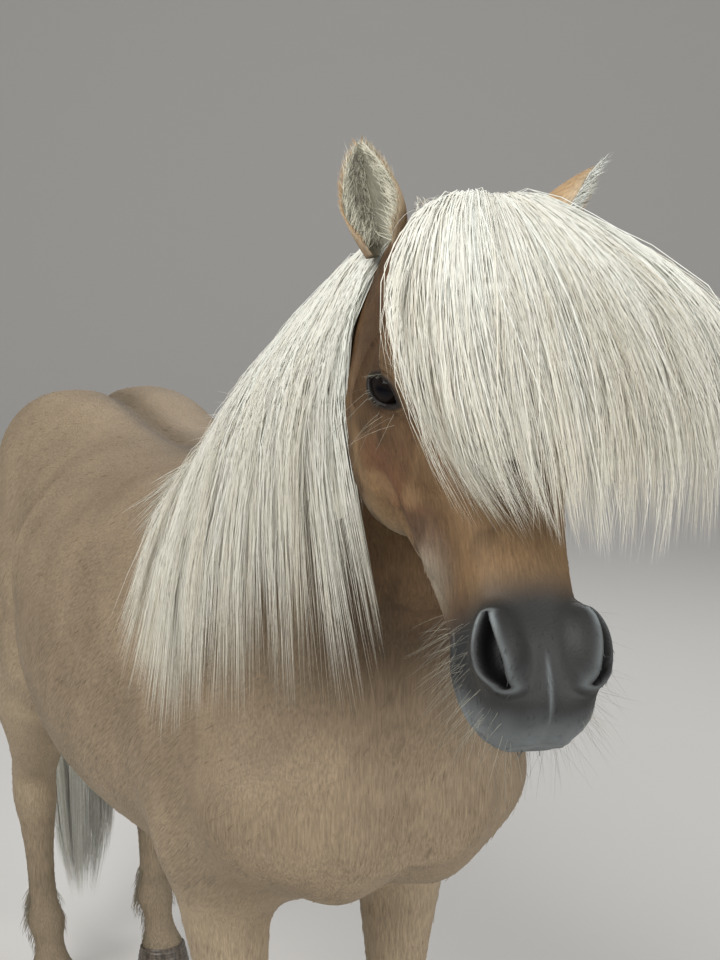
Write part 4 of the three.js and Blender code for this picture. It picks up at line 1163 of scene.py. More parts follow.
# Long hair over a sheet of guide lines. It starts as one even head of hair and parts towards the
# tips into small locks, each with its own depth, length, bend and shade.
def long_hair(guides, form, seed):
    random = np.random.default_rng(seed)
    locks, count, k = form["locks"], form["strands"], form["points"]
    strand_u = (np.arange(count) + random.uniform(0, 1, count)) / count
    mine = (strand_u + random.normal(0, 0.012, count)) * locks
    mine = np.clip(mine.astype(int), 0, locks - 1)
    lock_u = (np.arange(locks) + random.uniform(0.1, 0.9, locks)) / locks
    lock_deep = random.uniform(0, 1, locks)
    lock_drift = random.normal(0, form["drift"], locks)
    lock_bend = random.normal(0, form["bend"], (locks, 2))
    lock_end = 1 - form["uneven"] * random.uniform(0, 1, locks) ** 1.4
    lock_phase = random.uniform(0, 2 * np.pi, locks)
    lock_shade = random.uniform(0, 1, locks)
    v = (np.linspace(0, 1, k) ** 1.25)[None, :]
    end = lock_end[mine] * (1 - form["fray"] * random.uniform(0, 1, count) ** 1.5)
    end = end * (1 - form["rear"] * smooth(0.72, 1, strand_u))
    share = form["start"] + v * (end[:, None] - form["start"])
    close = form["gather"] * smooth(0.35, 1.0, v)
    u = strand_u[:, None] + (lock_u[mine] - strand_u)[:, None] * close
    u = u + (lock_drift[mine] + random.normal(0, form["cross"], count))[:, None] * v
    inside = np.clip(u, 0, 1)
    points = sheet_points(guides, inside, share)
    across, out = sheet_frame(guides, inside, share)
    out = out * form["side"]
    free = smooth(0.55, 1, v)
    wave = form["wave"] * np.sin(lock_phase[mine][:, None] + v * form["waves"] * np.pi) * v
    wave = wave + 0.3 * form["wave"] * np.sin(9 * strand_u[:, None] * locks + 10 * v) * v
    own = random.normal(0, 1, (count, 2))
    sideways = (u - inside) * form["width"] + wave + own[:, :1] * form["loose"] * v
    sideways = sideways + lock_bend[mine, :1] * free
    low, high = form["deep"]
    layer = 0.45 * lock_deep[mine] + 0.55 * random.uniform(0, 1, count)
    deep = (low + (high - low) * layer)[:, None] * smooth(0.08, 0.4, v)
    deep = deep * (1 - 0.5 * form["gather"] * free) + own[:, 1:] * 0.6 * form["loose"] * v
    deep = deep + lock_bend[mine, 1:] * free
    stray = (random.uniform(0, 1, count) < form["stray"])[:, None]
    sideways = sideways + stray * random.normal(0, 16, (count, 1)) * v**1.6
    deep = deep + stray * np.abs(random.normal(0, 8, (count, 1))) * v**1.6
    beside = inside * form["width"]
    sideways = np.clip(sideways, -beside - 2 - 6 * v, form["width"] - beside + 2 + 14 * v)
    paths = points + across * sideways[..., None] + out * deep[..., None]
    room = 3 + 12 * layer[:, None] * smooth(0.1, 0.45, v)
    paths = lift_clear(paths, room, field=form["clear_of"])
    width = form["half"] * random.uniform(0.7, 1.3, (count, 1))
    half = width * (1 - 0.75 * smooth(0.6, 1, v)) + np.zeros((count, k))
    band = soft_noise(random, strand_u, form["bands"])[:, None]
    shade = 0.4 * band + 0.25 * lock_shade[mine][:, None] + 0.35 * random.uniform(0, 1, (count, 1))
    # Towards the tips the hair turns warmer and darker; the darkening is painted shade on the lower
    # hair.
    tone = np.clip(form["tone"] + 0.75 * shade - form["tips"] * smooth(0.6, 1, v), 0, 1)
    colours = mix(form["dark"], form["light"], tone)
    # Painted shade: the deeper strands, under the others, are darker.
    colours = colours * (0.88 + 0.12 * layer)[:, None, None]
    return paths, half, out, colours


def add_long_hair(name, guides, form, seed):
    paths, half, out, colours = long_hair(guides, form, seed)
    pieces = math.ceil(len(paths) / MOST_STRANDS)
    for i in range(pieces):
        part = slice(i, None, pieces)
        label = name if pieces == 1 else f"{name}_{i + 1}"
        strand_mesh(label, paths[part], half[part], out[part], colours[part], mane_material)


# The close-packed hair below the free strands: a thin ribbed shell over the same guide lines.
def add_hair_body(name, guides, form, seed):
    random = np.random.default_rng(seed)
    rows, columns = 30, 170
    v, u = np.meshgrid(np.linspace(0, 1, rows), np.linspace(0.01, 0.99, columns), indexing="ij")
    end = form["body_end"] * (1 - 0.24 * soft_noise(random, u[0], 60) * soft_noise(random, u[0], 9))
    end = end * (1 - form["rear"] * smooth(0.72, 1, u[0]))
    share = form["start"] + v * (end[None, :] - form["start"])
    points = sheet_points(guides, u, share)
    _, out = sheet_frame(guides, u, share)
    out = out * form["side"]
    ribs = 3.2 * soft_noise(random, u[0], 70) + 2.0 * soft_noise(random, u[0], 24)
    deep = form["body_deep"] + ribs[None, :] * smooth(0, 0.2, v)
    edge = np.sqrt(np.maximum(1 - v**10, 0)) * smooth(-0.02, 0.06, v)
    outer = points + out * (deep - 1.2 * (1 - edge))[..., None]
    thick = 0.15 + 2.4 * edge
    inner = outer - out * thick[..., None]
    outer = lift_clear(outer, 4 + 0 * v, 1, form["clear_of"])
    inner = lift_clear(inner, 4 - 0.9 * thick, 1, form["clear_of"])
    quads = shell_quads(rows, columns)
    if form["side"] < 0:
        quads = quads[:, ::-1]
    strips = 0.5 * soft_noise(random, u[0], form["bands"]) + 0.5 * soft_noise(random, u[0], 110)
    # Darker towards the tips, as painted shade on the lower hair.
    tone = np.clip(form["tone"] + 0.1 + 0.6 * strips[None, :] - 0.25 * v, 0, 1)
    colours = mix(form["dark"], form["light"], tone).reshape(-1, 3)
    lay = np.stack([u * form["width"], 0 * u, v * 12], -1).reshape(-1, 3) / 1000
    flat = np.stack([0.02 + 0.46 * u, 0.02 + 0.96 * v], -1).reshape(-1, 2)
    uv = np.concatenate([flat, flat + [0.5, 0]])
    layers = {"flow": np.concatenate([lay, lay]), "bare": np.zeros(2 * rows * columns)}
    points = np.concatenate([outer.reshape(-1, 3), inner.reshape(-1, 3)])
    # The inner side of the shell is a darker copy, as painted shade.
    both = np.concatenate([colours, 0.6 * colours])
    make_mesh(name, points, quads, hair_body_material, both, layers, uv)


# A new material, a function that adds a node to it and one that fills in its shader. Both take the
# sockets to link from by input, then the values of inputs and settings.
def new_material(name):
    material = bpy.data.materials.new(name)
    material.use_nodes = True
    tree = material.node_tree

    def fill(node, links, values):
        for key, value in values.items():
            label = key.replace("_", " ")
            if label in node.inputs:
                node.inputs[label].default_value = value
            else:
                setattr(node, key, value)
        for key, socket in links.items():
            tree.links.new(socket, node.inputs[key])
        return node.outputs

    def add(kind, links, **values):
        return fill(tree.nodes.new("ShaderNode" + kind), links, values)

    def dress(links, **values):
        fill(tree.nodes["Principled BSDF"], links, values)

    return material, add, dress


def layer_of(add, name, output):
    return add("Attribute", {}, attribute_name=name)[output]


# The colours of the markings and painted light, made lighter or darker by a factor.
def tinted(add, factor):
    markings_and_painted_light = layer_of(add, "markings_and_painted_light", "Color")
    return add("VectorMath", {0: markings_and_painted_light, "Scale": factor}, operation="SCALE")["Vector"]


def skin_material(name, fine, roughness, relief):
    material, add, dress = new_material(name)
    place = add("TexCoord", {})["Object"]
    bare = layer_of(add, "bare", "Fac")
    streaks = [
        add("TexNoise", {"Vector": layer_of(add, flow, "Vector")}, Scale=fine, Detail=3.0, Roughness=0.6)
        for flow in ("flow", "flow_two")
    ]
    share = layer_of(add, "flow_share", "Fac")
    grain = add("Mix", {0: share, 2: streaks[0]["Fac"], 3: streaks[1]["Fac"]}, data_type="FLOAT")[0]
    calm = add("Mix", {0: bare, 2: grain}, data_type="FLOAT", B=0.5)[0]
    patch = add("TexNoise", {"Vector": place}, Scale=14.0, Detail=4.0, Roughness=0.6)["Fac"]
    fine_shade = add("MapRange", {"Value": calm}, From_Min=0.25, From_Max=0.75, To_Min=0.7, To_Max=1.3)
    wide_shade = add("MapRange", {"Value": patch}, From_Min=0.3, From_Max=0.7, To_Min=0.88, To_Max=1.12)
    both = add("Math", {0: fine_shade["Result"], 1: wide_shade["Result"]}, operation="MULTIPLY")["Value"]
    rough = add("MapRange", {"Value": bare}, To_Min=roughness, To_Max=0.5)["Result"]
    pores = add("TexVoronoi", {"Vector": place}, Scale=420.0)["Distance"]
    fur = add("Bump", {"Height": calm}, Strength=relief, Distance=0.0016)["Normal"]
    skin = add("Bump", {"Height": pores, "Normal": fur}, Strength=0.2, Distance=0.0006)["Normal"]
    dress({"Base Color": tinted(add, both), "Roughness": rough, "Normal": skin}, Specular_IOR_Level=0.22)
    return material


# A material of the colours of markings and painted light alone, with fine noise in its shade.
def plain_material(name, scale, detail, darkest, lightest, **constants):
    material, add, dress = new_material(name)
    place = add("TexCoord", {})["Object"]
    noise = add("TexNoise", {"Vector": place}, Scale=scale, Detail=detail)["Fac"]
    shade = add("MapRange", {"Value": noise}, To_Min=darkest, To_Max=lightest)["Result"]
    dress({"Base Color": tinted(add, shade)}, **constants)
    return material


def hair_material(name, roughness, sheen, specular):
    return plain_material(name, 160.0, 2.0, 0.82, 1.16, Roughness=roughness, Sheen_Weight=sheen,
                          Sheen_Roughness=0.4, Specular_IOR_Level=specular)


def horn_material():
    material, add, dress = new_material("hoof")
    place = add("TexCoord", {})["Object"]
    rings = add("TexWave", {"Vector": place}, Scale=62.0, Distortion=2.2, Detail=2.0,
                bands_direction="Z")
    stretch = add("Mapping", {"Vector": place}, Scale=(260.0, 260.0, 14.0))["Vector"]
    grain = add("TexNoise", {"Vector": stretch}, Scale=1.0, Detail=4.0)["Fac"]
    colour = add("ValToRGB", {"Fac": grain})["Color"]
    stops = ((0.3, (0.035, 0.028, 0.023, 1)), (0.75, (0.15, 0.12, 0.09, 1)))
    for element, (position, shade) in zip(colour.node.color_ramp.elements, stops):
        element.position = position
        element.color = shade
    fine = add("Bump", {"Height": grain}, Strength=0.35, Distance=0.0008)["Normal"]
    wide = add("Bump", {"Height": rings["Fac"], "Normal": fine}, Strength=0.4, Distance=0.0012)["Normal"]
    dress({"Base Color": colour, "Normal": wide}, Roughness=0.42)
    return material


coat_material = skin_material("coat", 520.0, 0.66, 0.55)
hair_body_material = skin_material("hair_body", 900.0, 0.5, 0.22)
fur_material = hair_material("short_hair", 0.55, 0.0, 0.25)
mane_material = hair_material("long_hair", 0.45, 0.05, 0.3)
hoof_material = horn_material()
ball_material = plain_material("eye", 700.0, 3.0, 0.7, 1.3, Roughness=0.25, Specular_IOR_Level=0.0,
                               Coat_Weight=0.4, Coat_Roughness=0.03, Coat_IOR=1.33)


# The skin's own coordinates, drawn out along the lie of the coat so that its grain runs that way:
# slanting back over the body, and down or along the face elsewhere, by the share returned last.
def flow_places(p):
    x, y, z = p.T
    q = to_head(p)
    on_face = in_head(p, q, -5, -250)
    along_face = np.column_stack([q[:, 0] * 0.1, q[:, 1], q[:, 2] + 0.2 * q[:, 0]])
    upright = np.column_stack([x, y, 0.1 * z])
    slant = np.column_stack([
        y,
        0.64 * x - 0.77 * z,
        0.1 * (0.77 * x + 0.64 * z),
    ])
    share = np.maximum(smooth(580, 470, z), smooth(120, 215, x))
    other = np.where(on_face[:, None], along_face, upright)
    return slant / 1000, other / 1000, np.where(on_face, 1.0, share)


FLESH_NODES = ["torso", "neck", "head"] + [
    f"leg_{leg}_{side}" for leg in ("fore", "hind") for side in ("right", "left")
]


def make_skin():
    points, quads, others = build_skin()
    colours, bare = markings_and_painted_light(points)
    slant, other, share = flow_places(points)
    layers = {"flow": slant, "flow_two": other, "flow_share": share, "bare": bare}
    piece = make_mesh("skin", points, quads, coat_material, colours, layers, unwrap(points),
                      others=others)
    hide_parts(*FLESH_NODES)
    return points, quads


# An ear: a leaf rolled round its hollow. Rows run from base to tip, columns round the hollow.
def ear_frame(sign):
    base, tip, open_way = (np.array(v, float) for v in EARS[sign])
    base, tip = from_head(base), from_head(tip)
    axis = tip - base
    length = np.linalg.norm(axis)
    axis = axis / length
    open_way = HEAD_WAYS @ open_way
    open_way = unit(open_way - axis * (open_way @ axis))
    return base, axis, length, open_way, np.cross(axis, open_way)


def ear_point(sign, s, turn, inset):
    base, axis, length, open_way, side = ear_frame(sign)
    radius, wrap, back = read(EAR_FORM, s).T
    r = np.maximum(radius - inset, 0.6)
    angle = np.radians(wrap) * turn
    shape = base + axis * (s * length)[:, None] + open_way * back[:, None]
    return shape - open_way * (r * np.cos(angle))[:, None] + side * (r * np.sin(angle))[:, None]


def make_ear(side, sign):
    rows, columns = 44, 48
    s = np.repeat(np.linspace(0, 1, rows), columns)
    turn = np.tile(np.linspace(-1, 1, columns), rows)
    edge = np.sqrt(np.maximum(1 - np.abs(turn) ** 6, 0)) * np.sqrt(np.maximum(1 - s**8, 0))
    thick = 4.4 * (1 - 0.5 * s) * edge
    inset = EAR_SKIN_DEPTH + 2.2 * (1 - edge)
    outer = ear_point(sign, s, turn, inset)
    inner = ear_point(sign, s, turn, inset + np.maximum(thick, 0.1))
    points = np.concatenate([outer, inner])
    quads = shell_quads(rows, columns, across=True)[:, ::-1]
    outside = mix(EAR_BACK, FLAXEN_DARK, 0.5 * np.abs(turn) ** 4)
    outside = mix(outside, FACE, 0.5 * smooth(0.3, 0.0, s))
    within_ear = mix(CREAM, BARE_SKIN, 0.4 * smooth(0.7, 0.1, np.abs(turn)))
    base, axis, _, open_way, across = ear_frame(sign)
    away = points - base
    flow = np.column_stack([0.12 * (away @ axis), away @ open_way, away @ across]) / 1000
    layers = {"flow": flow, "bare": np.repeat([0, 0.3], rows * columns)}
    piece = make_mesh(f"ear_{side}_skin", points, quads, coat_material,
                      np.concatenate([outside, within_ear]), layers, unwrap(points))
    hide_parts(f"ear_{side}")


# An eyeball whose cornea stands out a little, with a wide pupil.
def make_eye(side, sign):
    x, y, z = EYE["centre"]
    centre = from_head([x, sign * y, z])
    out, along = (HEAD_WAYS @ (np.array(EYE[key], float) * (1, sign, 1)) for key in ("out", "along"))
    out = unit(out)
    along = unit(along - out * (along @ out))
    up = np.cross(out, along) * -sign
    rows, columns = 40, 56
    polar = np.linspace(0, np.pi, rows)[:, None]
    turn = np.linspace(0, 2 * np.pi, columns, endpoint=False)[None, :]
    cornea = 1 + 0.05 * np.exp(-((polar / 0.5) ** 4))
    r = (EYE["radius"] - 0.5) * cornea / 1.02
    a = r * np.sin(polar) * np.cos(turn)
    b = r * np.sin(polar) * np.sin(turn)
    h = r * np.cos(polar) + 0 * turn
    points = (centre + a[..., None] * along + b[..., None] * up + h[..., None] * out).reshape(-1, 3)
    quads = tube_quads(rows, columns)
    if sign > 0:
        quads = quads[:, ::-1]
    ring = np.hypot(a, b).ravel()
    pupil = np.hypot(a / 7.5, b / 3.6).ravel()
    colours = mix(IRIS, PUPIL, smooth(1.2, 0.75, pupil))
    colours = mix(colours, (0.004, 0.0035, 0.0035), smooth(11, 13.5, ring))
    colours = mix(colours, (0.012, 0.01, 0.009), 0.6 * smooth(17, 19, ring))
    piece = make_mesh(f"eyeball_{side}", points, quads, ball_material, colours)
    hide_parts(f"eye_{side}")


# A hoof of rings from the sole up, with ridges of growth.
def make_hoof(leg, side, sign):
    rows = FORE_LEG if leg == "fore" else HIND_LEG
    x, y, forward, back, half = read(rows, np.array([CORONET_HEIGHT]))[0]
    columns = 64
    angle = np.linspace(0, 2 * np.pi, columns, endpoint=False)
    c, s = np.cos(angle), np.sin(angle)
    rings = []
    heights = np.concatenate([[0.0, 0.0], np.linspace(1.2, 60, 26)])
    for i, z in enumerate(heights):
        toe, heel, wide = read(HOOF, np.array([z]))[0]
        inset = 3.0 if i == 0 else 0.0
        ridge = 0.45 * math.sin(z * 0.75) + 0.25 * math.sin(z * 1.9 + 1)
        reach = np.where(c > 0, forward + toe, back + heel) - 0.6 - inset + ridge
        px = x + reach * np.sign(c) * np.abs(c) ** 0.9
        py = sign * y + (half + wide - 0.6 - inset + ridge) * s
        top = CORONET_HEIGHT - 0.4 + CORONET_SLOPE * (px - x)
        rings.append(np.column_stack([px, py, np.minimum(z, top)]))
    points = np.concatenate(rings + [[[x, sign * y, 0.0]], [[x, sign * y, CORONET_HEIGHT - 3]]])
    low, high = len(points) - 2, len(points) - 1
    here = np.arange(columns)
    ahead = np.roll(here, -1)
    last = (len(heights) - 1) * columns
    fans = [[low, b, a] for a, b in zip(here, ahead)]
    fans += [[high, last + a, last + b] for a, b in zip(here, ahead)]
    piece = make_mesh(f"hoof_{leg}_{side}_horn", points, tube_quads(len(heights), columns, True),
                      hoof_material, others=fans)
    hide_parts(f"hoof_{leg}_{side}")


SIDES = (("right", -1), ("left", 1))

skin_points, skin_quads = make_skin()
for name, sign in SIDES:
    make_ear(name, sign)
    make_eye(name, sign)
    for leg in ("fore", "hind"):
        make_hoof(leg, name, sign)

# Each head of hair: how many locks, strands and points to a strand it has, how they part towards
# the tips, how wide and deep it lies in millimetres, its colours with painted shade at the tips, and the
# sheet below it.
FORELOCK_HAIR = {
    "locks": 300, "strands": 8000, "points": 9, "start": 0.0, "side": 1,
    "drift": 0.018, "cross": 0.014, "uneven": 0.38, "fray": 0.28, "gather": 0.8, "width": 300,
    "wave": 3.4, "waves": 2.0, "loose": 2.6, "bend": 9.0, "deep": (-2.5, 8), "stray": 0.05,
    "half": 0.46, "bands": 22, "light": FLAXEN, "dark": FLAXEN_DARK, "tone": 0.36, "tips": 0.42,
    "body_end": 0.84, "body_deep": -3.5, "clear_of": flesh_distance, "rear": 0.0,
}
MANE_HAIR = dict(
    FORELOCK_HAIR, strands=7400, points=8, side=-1, width=320, deep=(0, 10),
    uneven=0.3, drift=0.01, wave=4.0, bands=26, body_end=0.76, body_deep=-1.5,
    clear_of=trunk_distance,
)
LEFT_HAIR = dict(MANE_HAIR, locks=170, strands=2900, side=1, rear=0.55)

HEADS_OF_HAIR = (
    ("forelock_hair", from_head(FORELOCK), FORELOCK_HAIR),
    ("mane_hair_right", MANE_RIGHT, MANE_HAIR),
    ("mane_hair_left", MANE_LEFT, LEFT_HAIR),
)
for number, (name, guides, form) in enumerate(HEADS_OF_HAIR):
    add_long_hair(name, guides, form, SEED + number)
    add_hair_body(name + "_body", guides, form, SEED + 30 + number)


# Hair along the crest of the neck, from its middle over to either side.
def make_crest_hair():
    random = np.random.default_rng(SEED + 40)
    count, k = 2500, 6
    u = random.uniform(0, 1, count)
    v = np.linspace(0, 1, k)[None, :]
    length = random.uniform(0.2, 0.42, (count, 1))
    share = 0.13 + v * length
    wide = np.clip(u[:, None] + random.normal(0, 0.03, (count, 1)) * v, 0, 1)
    starts = np.full((count, 1), 0.15)
    roots = [sheet_points(g, u[:, None], starts)[:, 0] for g in (MANE_RIGHT, MANE_LEFT)]
    middle = (roots[0] + roots[1]) / 2 + [0, 0, 9]
    middle = middle + random.normal(0, 1, (count, 1)) * (roots[1] - roots[0]) * 0.16
    turned = random.uniform(0, 1, count) < 0.62
    over_right = turned[:, None, None]
    right, left = (sheet_points(guides, wide, share) for guides in (MANE_RIGHT, MANE_LEFT))
    paths = np.where(over_right, right, left)
    across, out_right = sheet_frame(MANE_RIGHT, wide, share)
    _, out_left = sheet_frame(MANE_LEFT, wide, share)
    out = np.where(over_right, -out_right, out_left)
    merge = (1 - smooth(0, 0.42, v))[..., None]
    paths = paths + out * (4 + 8 * random.uniform(0, 1, (count, 1)))[..., None] * v[..., None]
    paths = paths * (1 - merge) + (middle[:, None] + [0, 0, 6] * v[..., None]) * merge
    paths = paths + across * (random.normal(0, 5, (count, 1)) * v)[..., None]
    half = 0.6 * random.uniform(0.8, 1.2, (count, 1)) * (1 - 0.7 * smooth(0.4, 1, v))
    tone = np.clip(0.4 + 0.6 * random.uniform(0, 1, (count, 1)) + 0 * v, 0, 1)
    colours = mix(FLAXEN_DARK, FLAXEN, tone)
    out = unit(out + np.array([0, 0, 1.0]) * merge)
    strand_mesh("mane_crest_hair", paths, half, out, colours, mane_material)


make_crest_hair()


# The tail's hair, in locks round its line.
def make_tail():
    random = np.random.default_rng(SEED + 4)
    locks, count, k = 110, 3200, 8
    lock_turn = random.uniform(0, 2 * np.pi, locks)
    lock_out = np.sqrt(random.uniform(0.05, 1, locks))
    lock_end = 1 - 0.22 * random.uniform(0, 1, locks)
    mine = random.integers(0, locks, count)
    v = np.linspace(0, 1, k)[None, :]
    start = 0.01 + 0.13 * random.uniform(0, 1, (count, 1)) ** 1.6
    end = lock_end[mine][:, None] * (1 - 0.08 * random.uniform(0, 1, (count, 1)))
    share = start + v * (end - start)
    steps = np.linspace(0, 1, len(TAIL_LINE))
    line = read(np.column_stack([steps, TAIL_LINE]), share)
    form = read(TAIL_FORM, share)
    own = random.normal(0, 1, (count, 2))
    own *= np.minimum(1, 1.8 / np.linalg.norm(own, axis=1))[:, None]
    gather = 1 - 0.65 * smooth(0.3, 1, v)
    turn = lock_turn[mine][:, None] + 0.25 * np.sin(v * 3 + lock_turn[mine][:, None] * 3)
    reach = lock_out[mine][:, None]
    root = smooth(-0.05, 0.3, v)
    wide = form[..., 0] * 0.9 * reach * np.cos(turn) + own[:, :1] * 9 * gather * root
    deep = form[..., 1] * 0.9 * reach * np.sin(turn) + own[:, 1:] * 6 * gather * root
    paths = line + np.stack([-deep, wide, 0 * wide], -1)
    paths = lift_clear(paths, np.full((count, k), 2.0), first=3)
    half = 0.75 * random.uniform(0.8, 1.2, (count, 1)) * (1 - 0.75 * smooth(0.5, 1, v))
    tone = np.clip(0.25 + 0.6 * random.uniform(0, 1, (count, 1)) + 0.2 * v, 0, 1)
    colours = mix(FLAXEN_DARK, FLAXEN, tone)
    # Painted shade: the locks nearer the middle of the tail are darker.
    colours = colours * (0.62 + 0.38 * lock_out[mine])[:, None, None]
    way = np.stack([-np.sin(turn), np.cos(turn), 0.9 - smooth(0, 0.2, share)], -1)
    piece = strand_mesh("tail_hair", paths, half, unit(way), colours, mane_material)
    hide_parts("tail")


make_tail()


# Points spread evenly over the skin, with the way out of it there.
def scatter(random, count, wanted):
    quads = skin_quads[wanted(skin_points[skin_quads].mean(1))]
    a, b, c, d = (skin_points[quads[:, i]] for i in range(4))
    area = np.linalg.norm(np.cross(c - a, d - b), axis=1) / 2
    pick = random.choice(len(quads), count, p=area / area.sum())
    s, t = random.uniform(0, 1, (2, count, 1))
    points = (1 - s) * ((1 - t) * a[pick] + t * d[pick]) + s * ((1 - t) * b[pick] + t * c[pick])
    out = unit(np.cross(c[pick] - a[pick], d[pick] - b[pick]))
    return points, out


# Short tufts that lie along the coat.
def make_tufts(name, count, length, half, rise, wanted, seed, slot):
    random = np.random.default_rng(seed)
    roots, out = scatter(random, count, wanted)
    way = unit(coat_way(roots) + random.normal(0, 0.16, (len(roots), 3)))
    way = unit(way - out * (way * out).sum(1, keepdims=True))
    long = length * random.uniform(0.6, 1.2, (count, 1))
    share = np.array([0, 0.35, 0.7, 1.0])
    lift = rise * random.uniform(0.4, 1.4, (count, 1))
    along = long * share[None, :]
    height = long * lift * (share * (1.5 - share))[None, :] - 0.25
    paths = roots[:, None] + way[:, None] * along[..., None] + out[:, None] * height[..., None]
    width = half * random.uniform(0.7, 1.3, (count, 1)) * np.array([1, 0.95, 0.6, 0.1])[None, :]
    base = markings_and_painted_light(roots)[0]
    tone = random.uniform(0.85, 1.35, (count, 1)) * np.array([0.95, 1, 1.08, 1.12])[None, :]
    colours = np.clip(base[:, None] * tone[..., None], 0, 0.95)
    outs = np.repeat(out[:, None], 4, axis=1)
    strand_mesh(name, paths, width, outs, colours, fur_material, 0.92)


def on_face(p):
    return in_head(p, to_head(p), -10, -235)


def on_body(p):
    return ~on_face(p) & (p[:, 2] > LEGS_BELOW)


def on_legs(p):
    return (p[:, 2] <= LEGS_BELOW) & (p[:, 2] > ABOVE_HOOVES)


def furred_face(p):
    q, _ = mirrored_head(p)
    _, _, h, outside, _ = eye_place(q)
    by_eye = (h > -12) & (outside < 6) & (q[:, 0] < 190)
    by_nose = (nostril_place(q)[0] < 1) & (q[:, 0] > 335)
    return on_face(p) & ~by_eye & ~by_nose & (np.abs(mouth_place(q)) > 1.5)


# Each coat: how many tufts, their length, half width and rise, where they grow, seed and slot.
for coat in (
    ("coat_body", 7000, 15.0, 0.45, 0.1, on_body, SEED + 5, "coat"),
    ("coat_legs", 4400, 9.0, 0.42, 0.16, on_legs, SEED + 6, "coat"),
    ("coat_face", 6300, 5.5, 0.28, 0.14, furred_face, SEED + 7, "face"),
):
    make_tufts(*coat)


def blend_colours(random, count, one, two, low=0.75, high=1.15):
    share = random.uniform(0, 1, count)
    return mix(one, two, share) * random.uniform(low, high, (count, 1))


# Loose hairs from given roots: each leaves along its way, then bends to its fall, with some curl.
def loose_hair(name, roots, ways, fall, length, half, curl, colours, points, seed, slot):
    random = np.random.default_rng(seed)
    count = len(roots)
    v = np.linspace(0, 1, points)[None, :, None]
    length = np.asarray(length)[:, None, None]
    ways, fall = unit(ways)[:, None], np.asarray(fall, float).reshape(-1, 1, 3)
    paths = roots[:, None] + ways * length * v + fall * length * v**2
    side = unit(np.cross(ways, random.normal(0, 1, (count, 1, 3))))
    phase = random.uniform(0, 2 * np.pi, (count, 1, 1))
    turns = random.uniform(0.6, 1.4, (count, 1, 1)) * np.pi
    paths = paths + side * curl * length * v * np.sin(phase + turns * v)
    if slot == "hair":
        paths = lift_clear(paths, np.full((count, points), 2.0), first=1)
    width = half * random.uniform(0.75, 1.25, (count, 1)) * (1 - 0.8 * v[..., 0] ** 2)
    out = np.repeat(unit(ways + 0.3), points, axis=1)
    shades = np.repeat(colours[:, None], points, axis=1)
    strand_mesh(name, paths, width, out, shades, mane_material, 0.4)


# Hair at the rear end of the mane, swept back over the withers.
def make_withers_hair():
    random = np.random.default_rng(SEED + 95)
    count = 420
    for (side, sign), guides in zip(SIDES, (MANE_RIGHT, MANE_LEFT)):
        u = random.uniform(0.93, 1.0, (count, 1))
        v = random.uniform(0.06, 0.5, (count, 1))
        roots = sheet_points(guides, u, v)[:, 0]
        down = unit(sheet_points(guides, u, v + 0.1)[:, 0] - roots)
        out = sheet_frame(guides, u, v)[1][:, 0] * sign
        ways = down + np.array([-0.42, 0, 0]) + 0.1 * out + random.normal(0, 0.07, (count, 3))
        length = random.uniform(45, 100, count)
        colours = blend_colours(random, count, FLAXEN, FLAXEN_DARK, 0.85, 1.0)
        loose_hair(f"withers_hair_{side}", roots + 2 * out, ways, (0, 0, -0.2), length, 0.45, 0.05,
                   colours, 6, SEED + 96, "hair")


# The wool inside an ear, longest along its edges, and the short fringe round its rim, which has a
# length and colours of its own along the outer edge.
def make_ear_hair(side, sign, count, outer_edge, lengths, rim_colour):
    random = np.random.default_rng(SEED + 50 + sign)
    _, axis, _, open_way, across = ear_frame(sign)
    s = random.uniform(0.06, 0.9, count)
    edge = np.where(random.uniform(0, 1, count) < 0.5, -1, 1)
    turn = edge * random.uniform(0.15, 0.97, count)
    roots = ear_point(sign, s, turn, 4.6 * (1 - 0.4 * s))
    lean = random.normal(0, 0.25, (count, 3))
    wrap = np.radians(read(EAR_FORM, s)[:, 1]) * turn
    inward = open_way * np.cos(wrap)[:, None] - across * np.sin(wrap)[:, None]
    ways = 0.55 * inward + 0.75 * axis + 0.25 * open_way + lean
    length = (9 + 13 * np.abs(turn) ** 2) * random.uniform(0.6, 1.15, count) * (1 - 0.35 * s)
    colours = blend_colours(random, count, (0.66, 0.64, 0.52), CREAM)
    loose_hair(f"ear_{side}_wool", roots, ways, 0.2 * axis, length, 0.42, 0.16, colours, 4,
               SEED + 52 + sign, "face")
    rim = 620
    s = random.uniform(0.1, 0.99, rim)
    edge = np.where(random.uniform(0, 1, rim) < 0.5, -1, 1)
    roots = ear_point(sign, s, 0.985 * edge, 2.2)
    wrap = np.radians(read(EAR_FORM, s)[:, 1]) * edge
    outward = across * np.sin(wrap)[:, None] - open_way * np.cos(wrap)[:, None]
    tangent = across * (edge * np.cos(wrap))[:, None] + open_way * (edge * np.sin(wrap))[:, None]
    ways = 0.5 * tangent + 0.9 * axis + 0.3 * outward + random.normal(0, 0.16, (rim, 3))
    outer = edge == outer_edge
    length = np.where(outer, *lengths) * random.uniform(0.6, 1.2, rim)
    colours = blend_colours(random, rim, EAR_BACK, (0.46, 0.34, 0.2))
    colours[outer] = blend_colours(random, int(outer.sum()), *rim_colour)
    loose_hair(f"ear_{side}_fringe", roots, ways, 0.1 * axis, length, 0.36, 0.1, colours, 4,
               SEED + 54 + sign, "face")


make_ear_hair("right", -1, 1500, 1, (7.0, 6.0), (EAR_BACK, CREAM))
make_ear_hair("left", 1, 900, -1, (17.0, 6.0), (FLAXEN, FLAXEN))


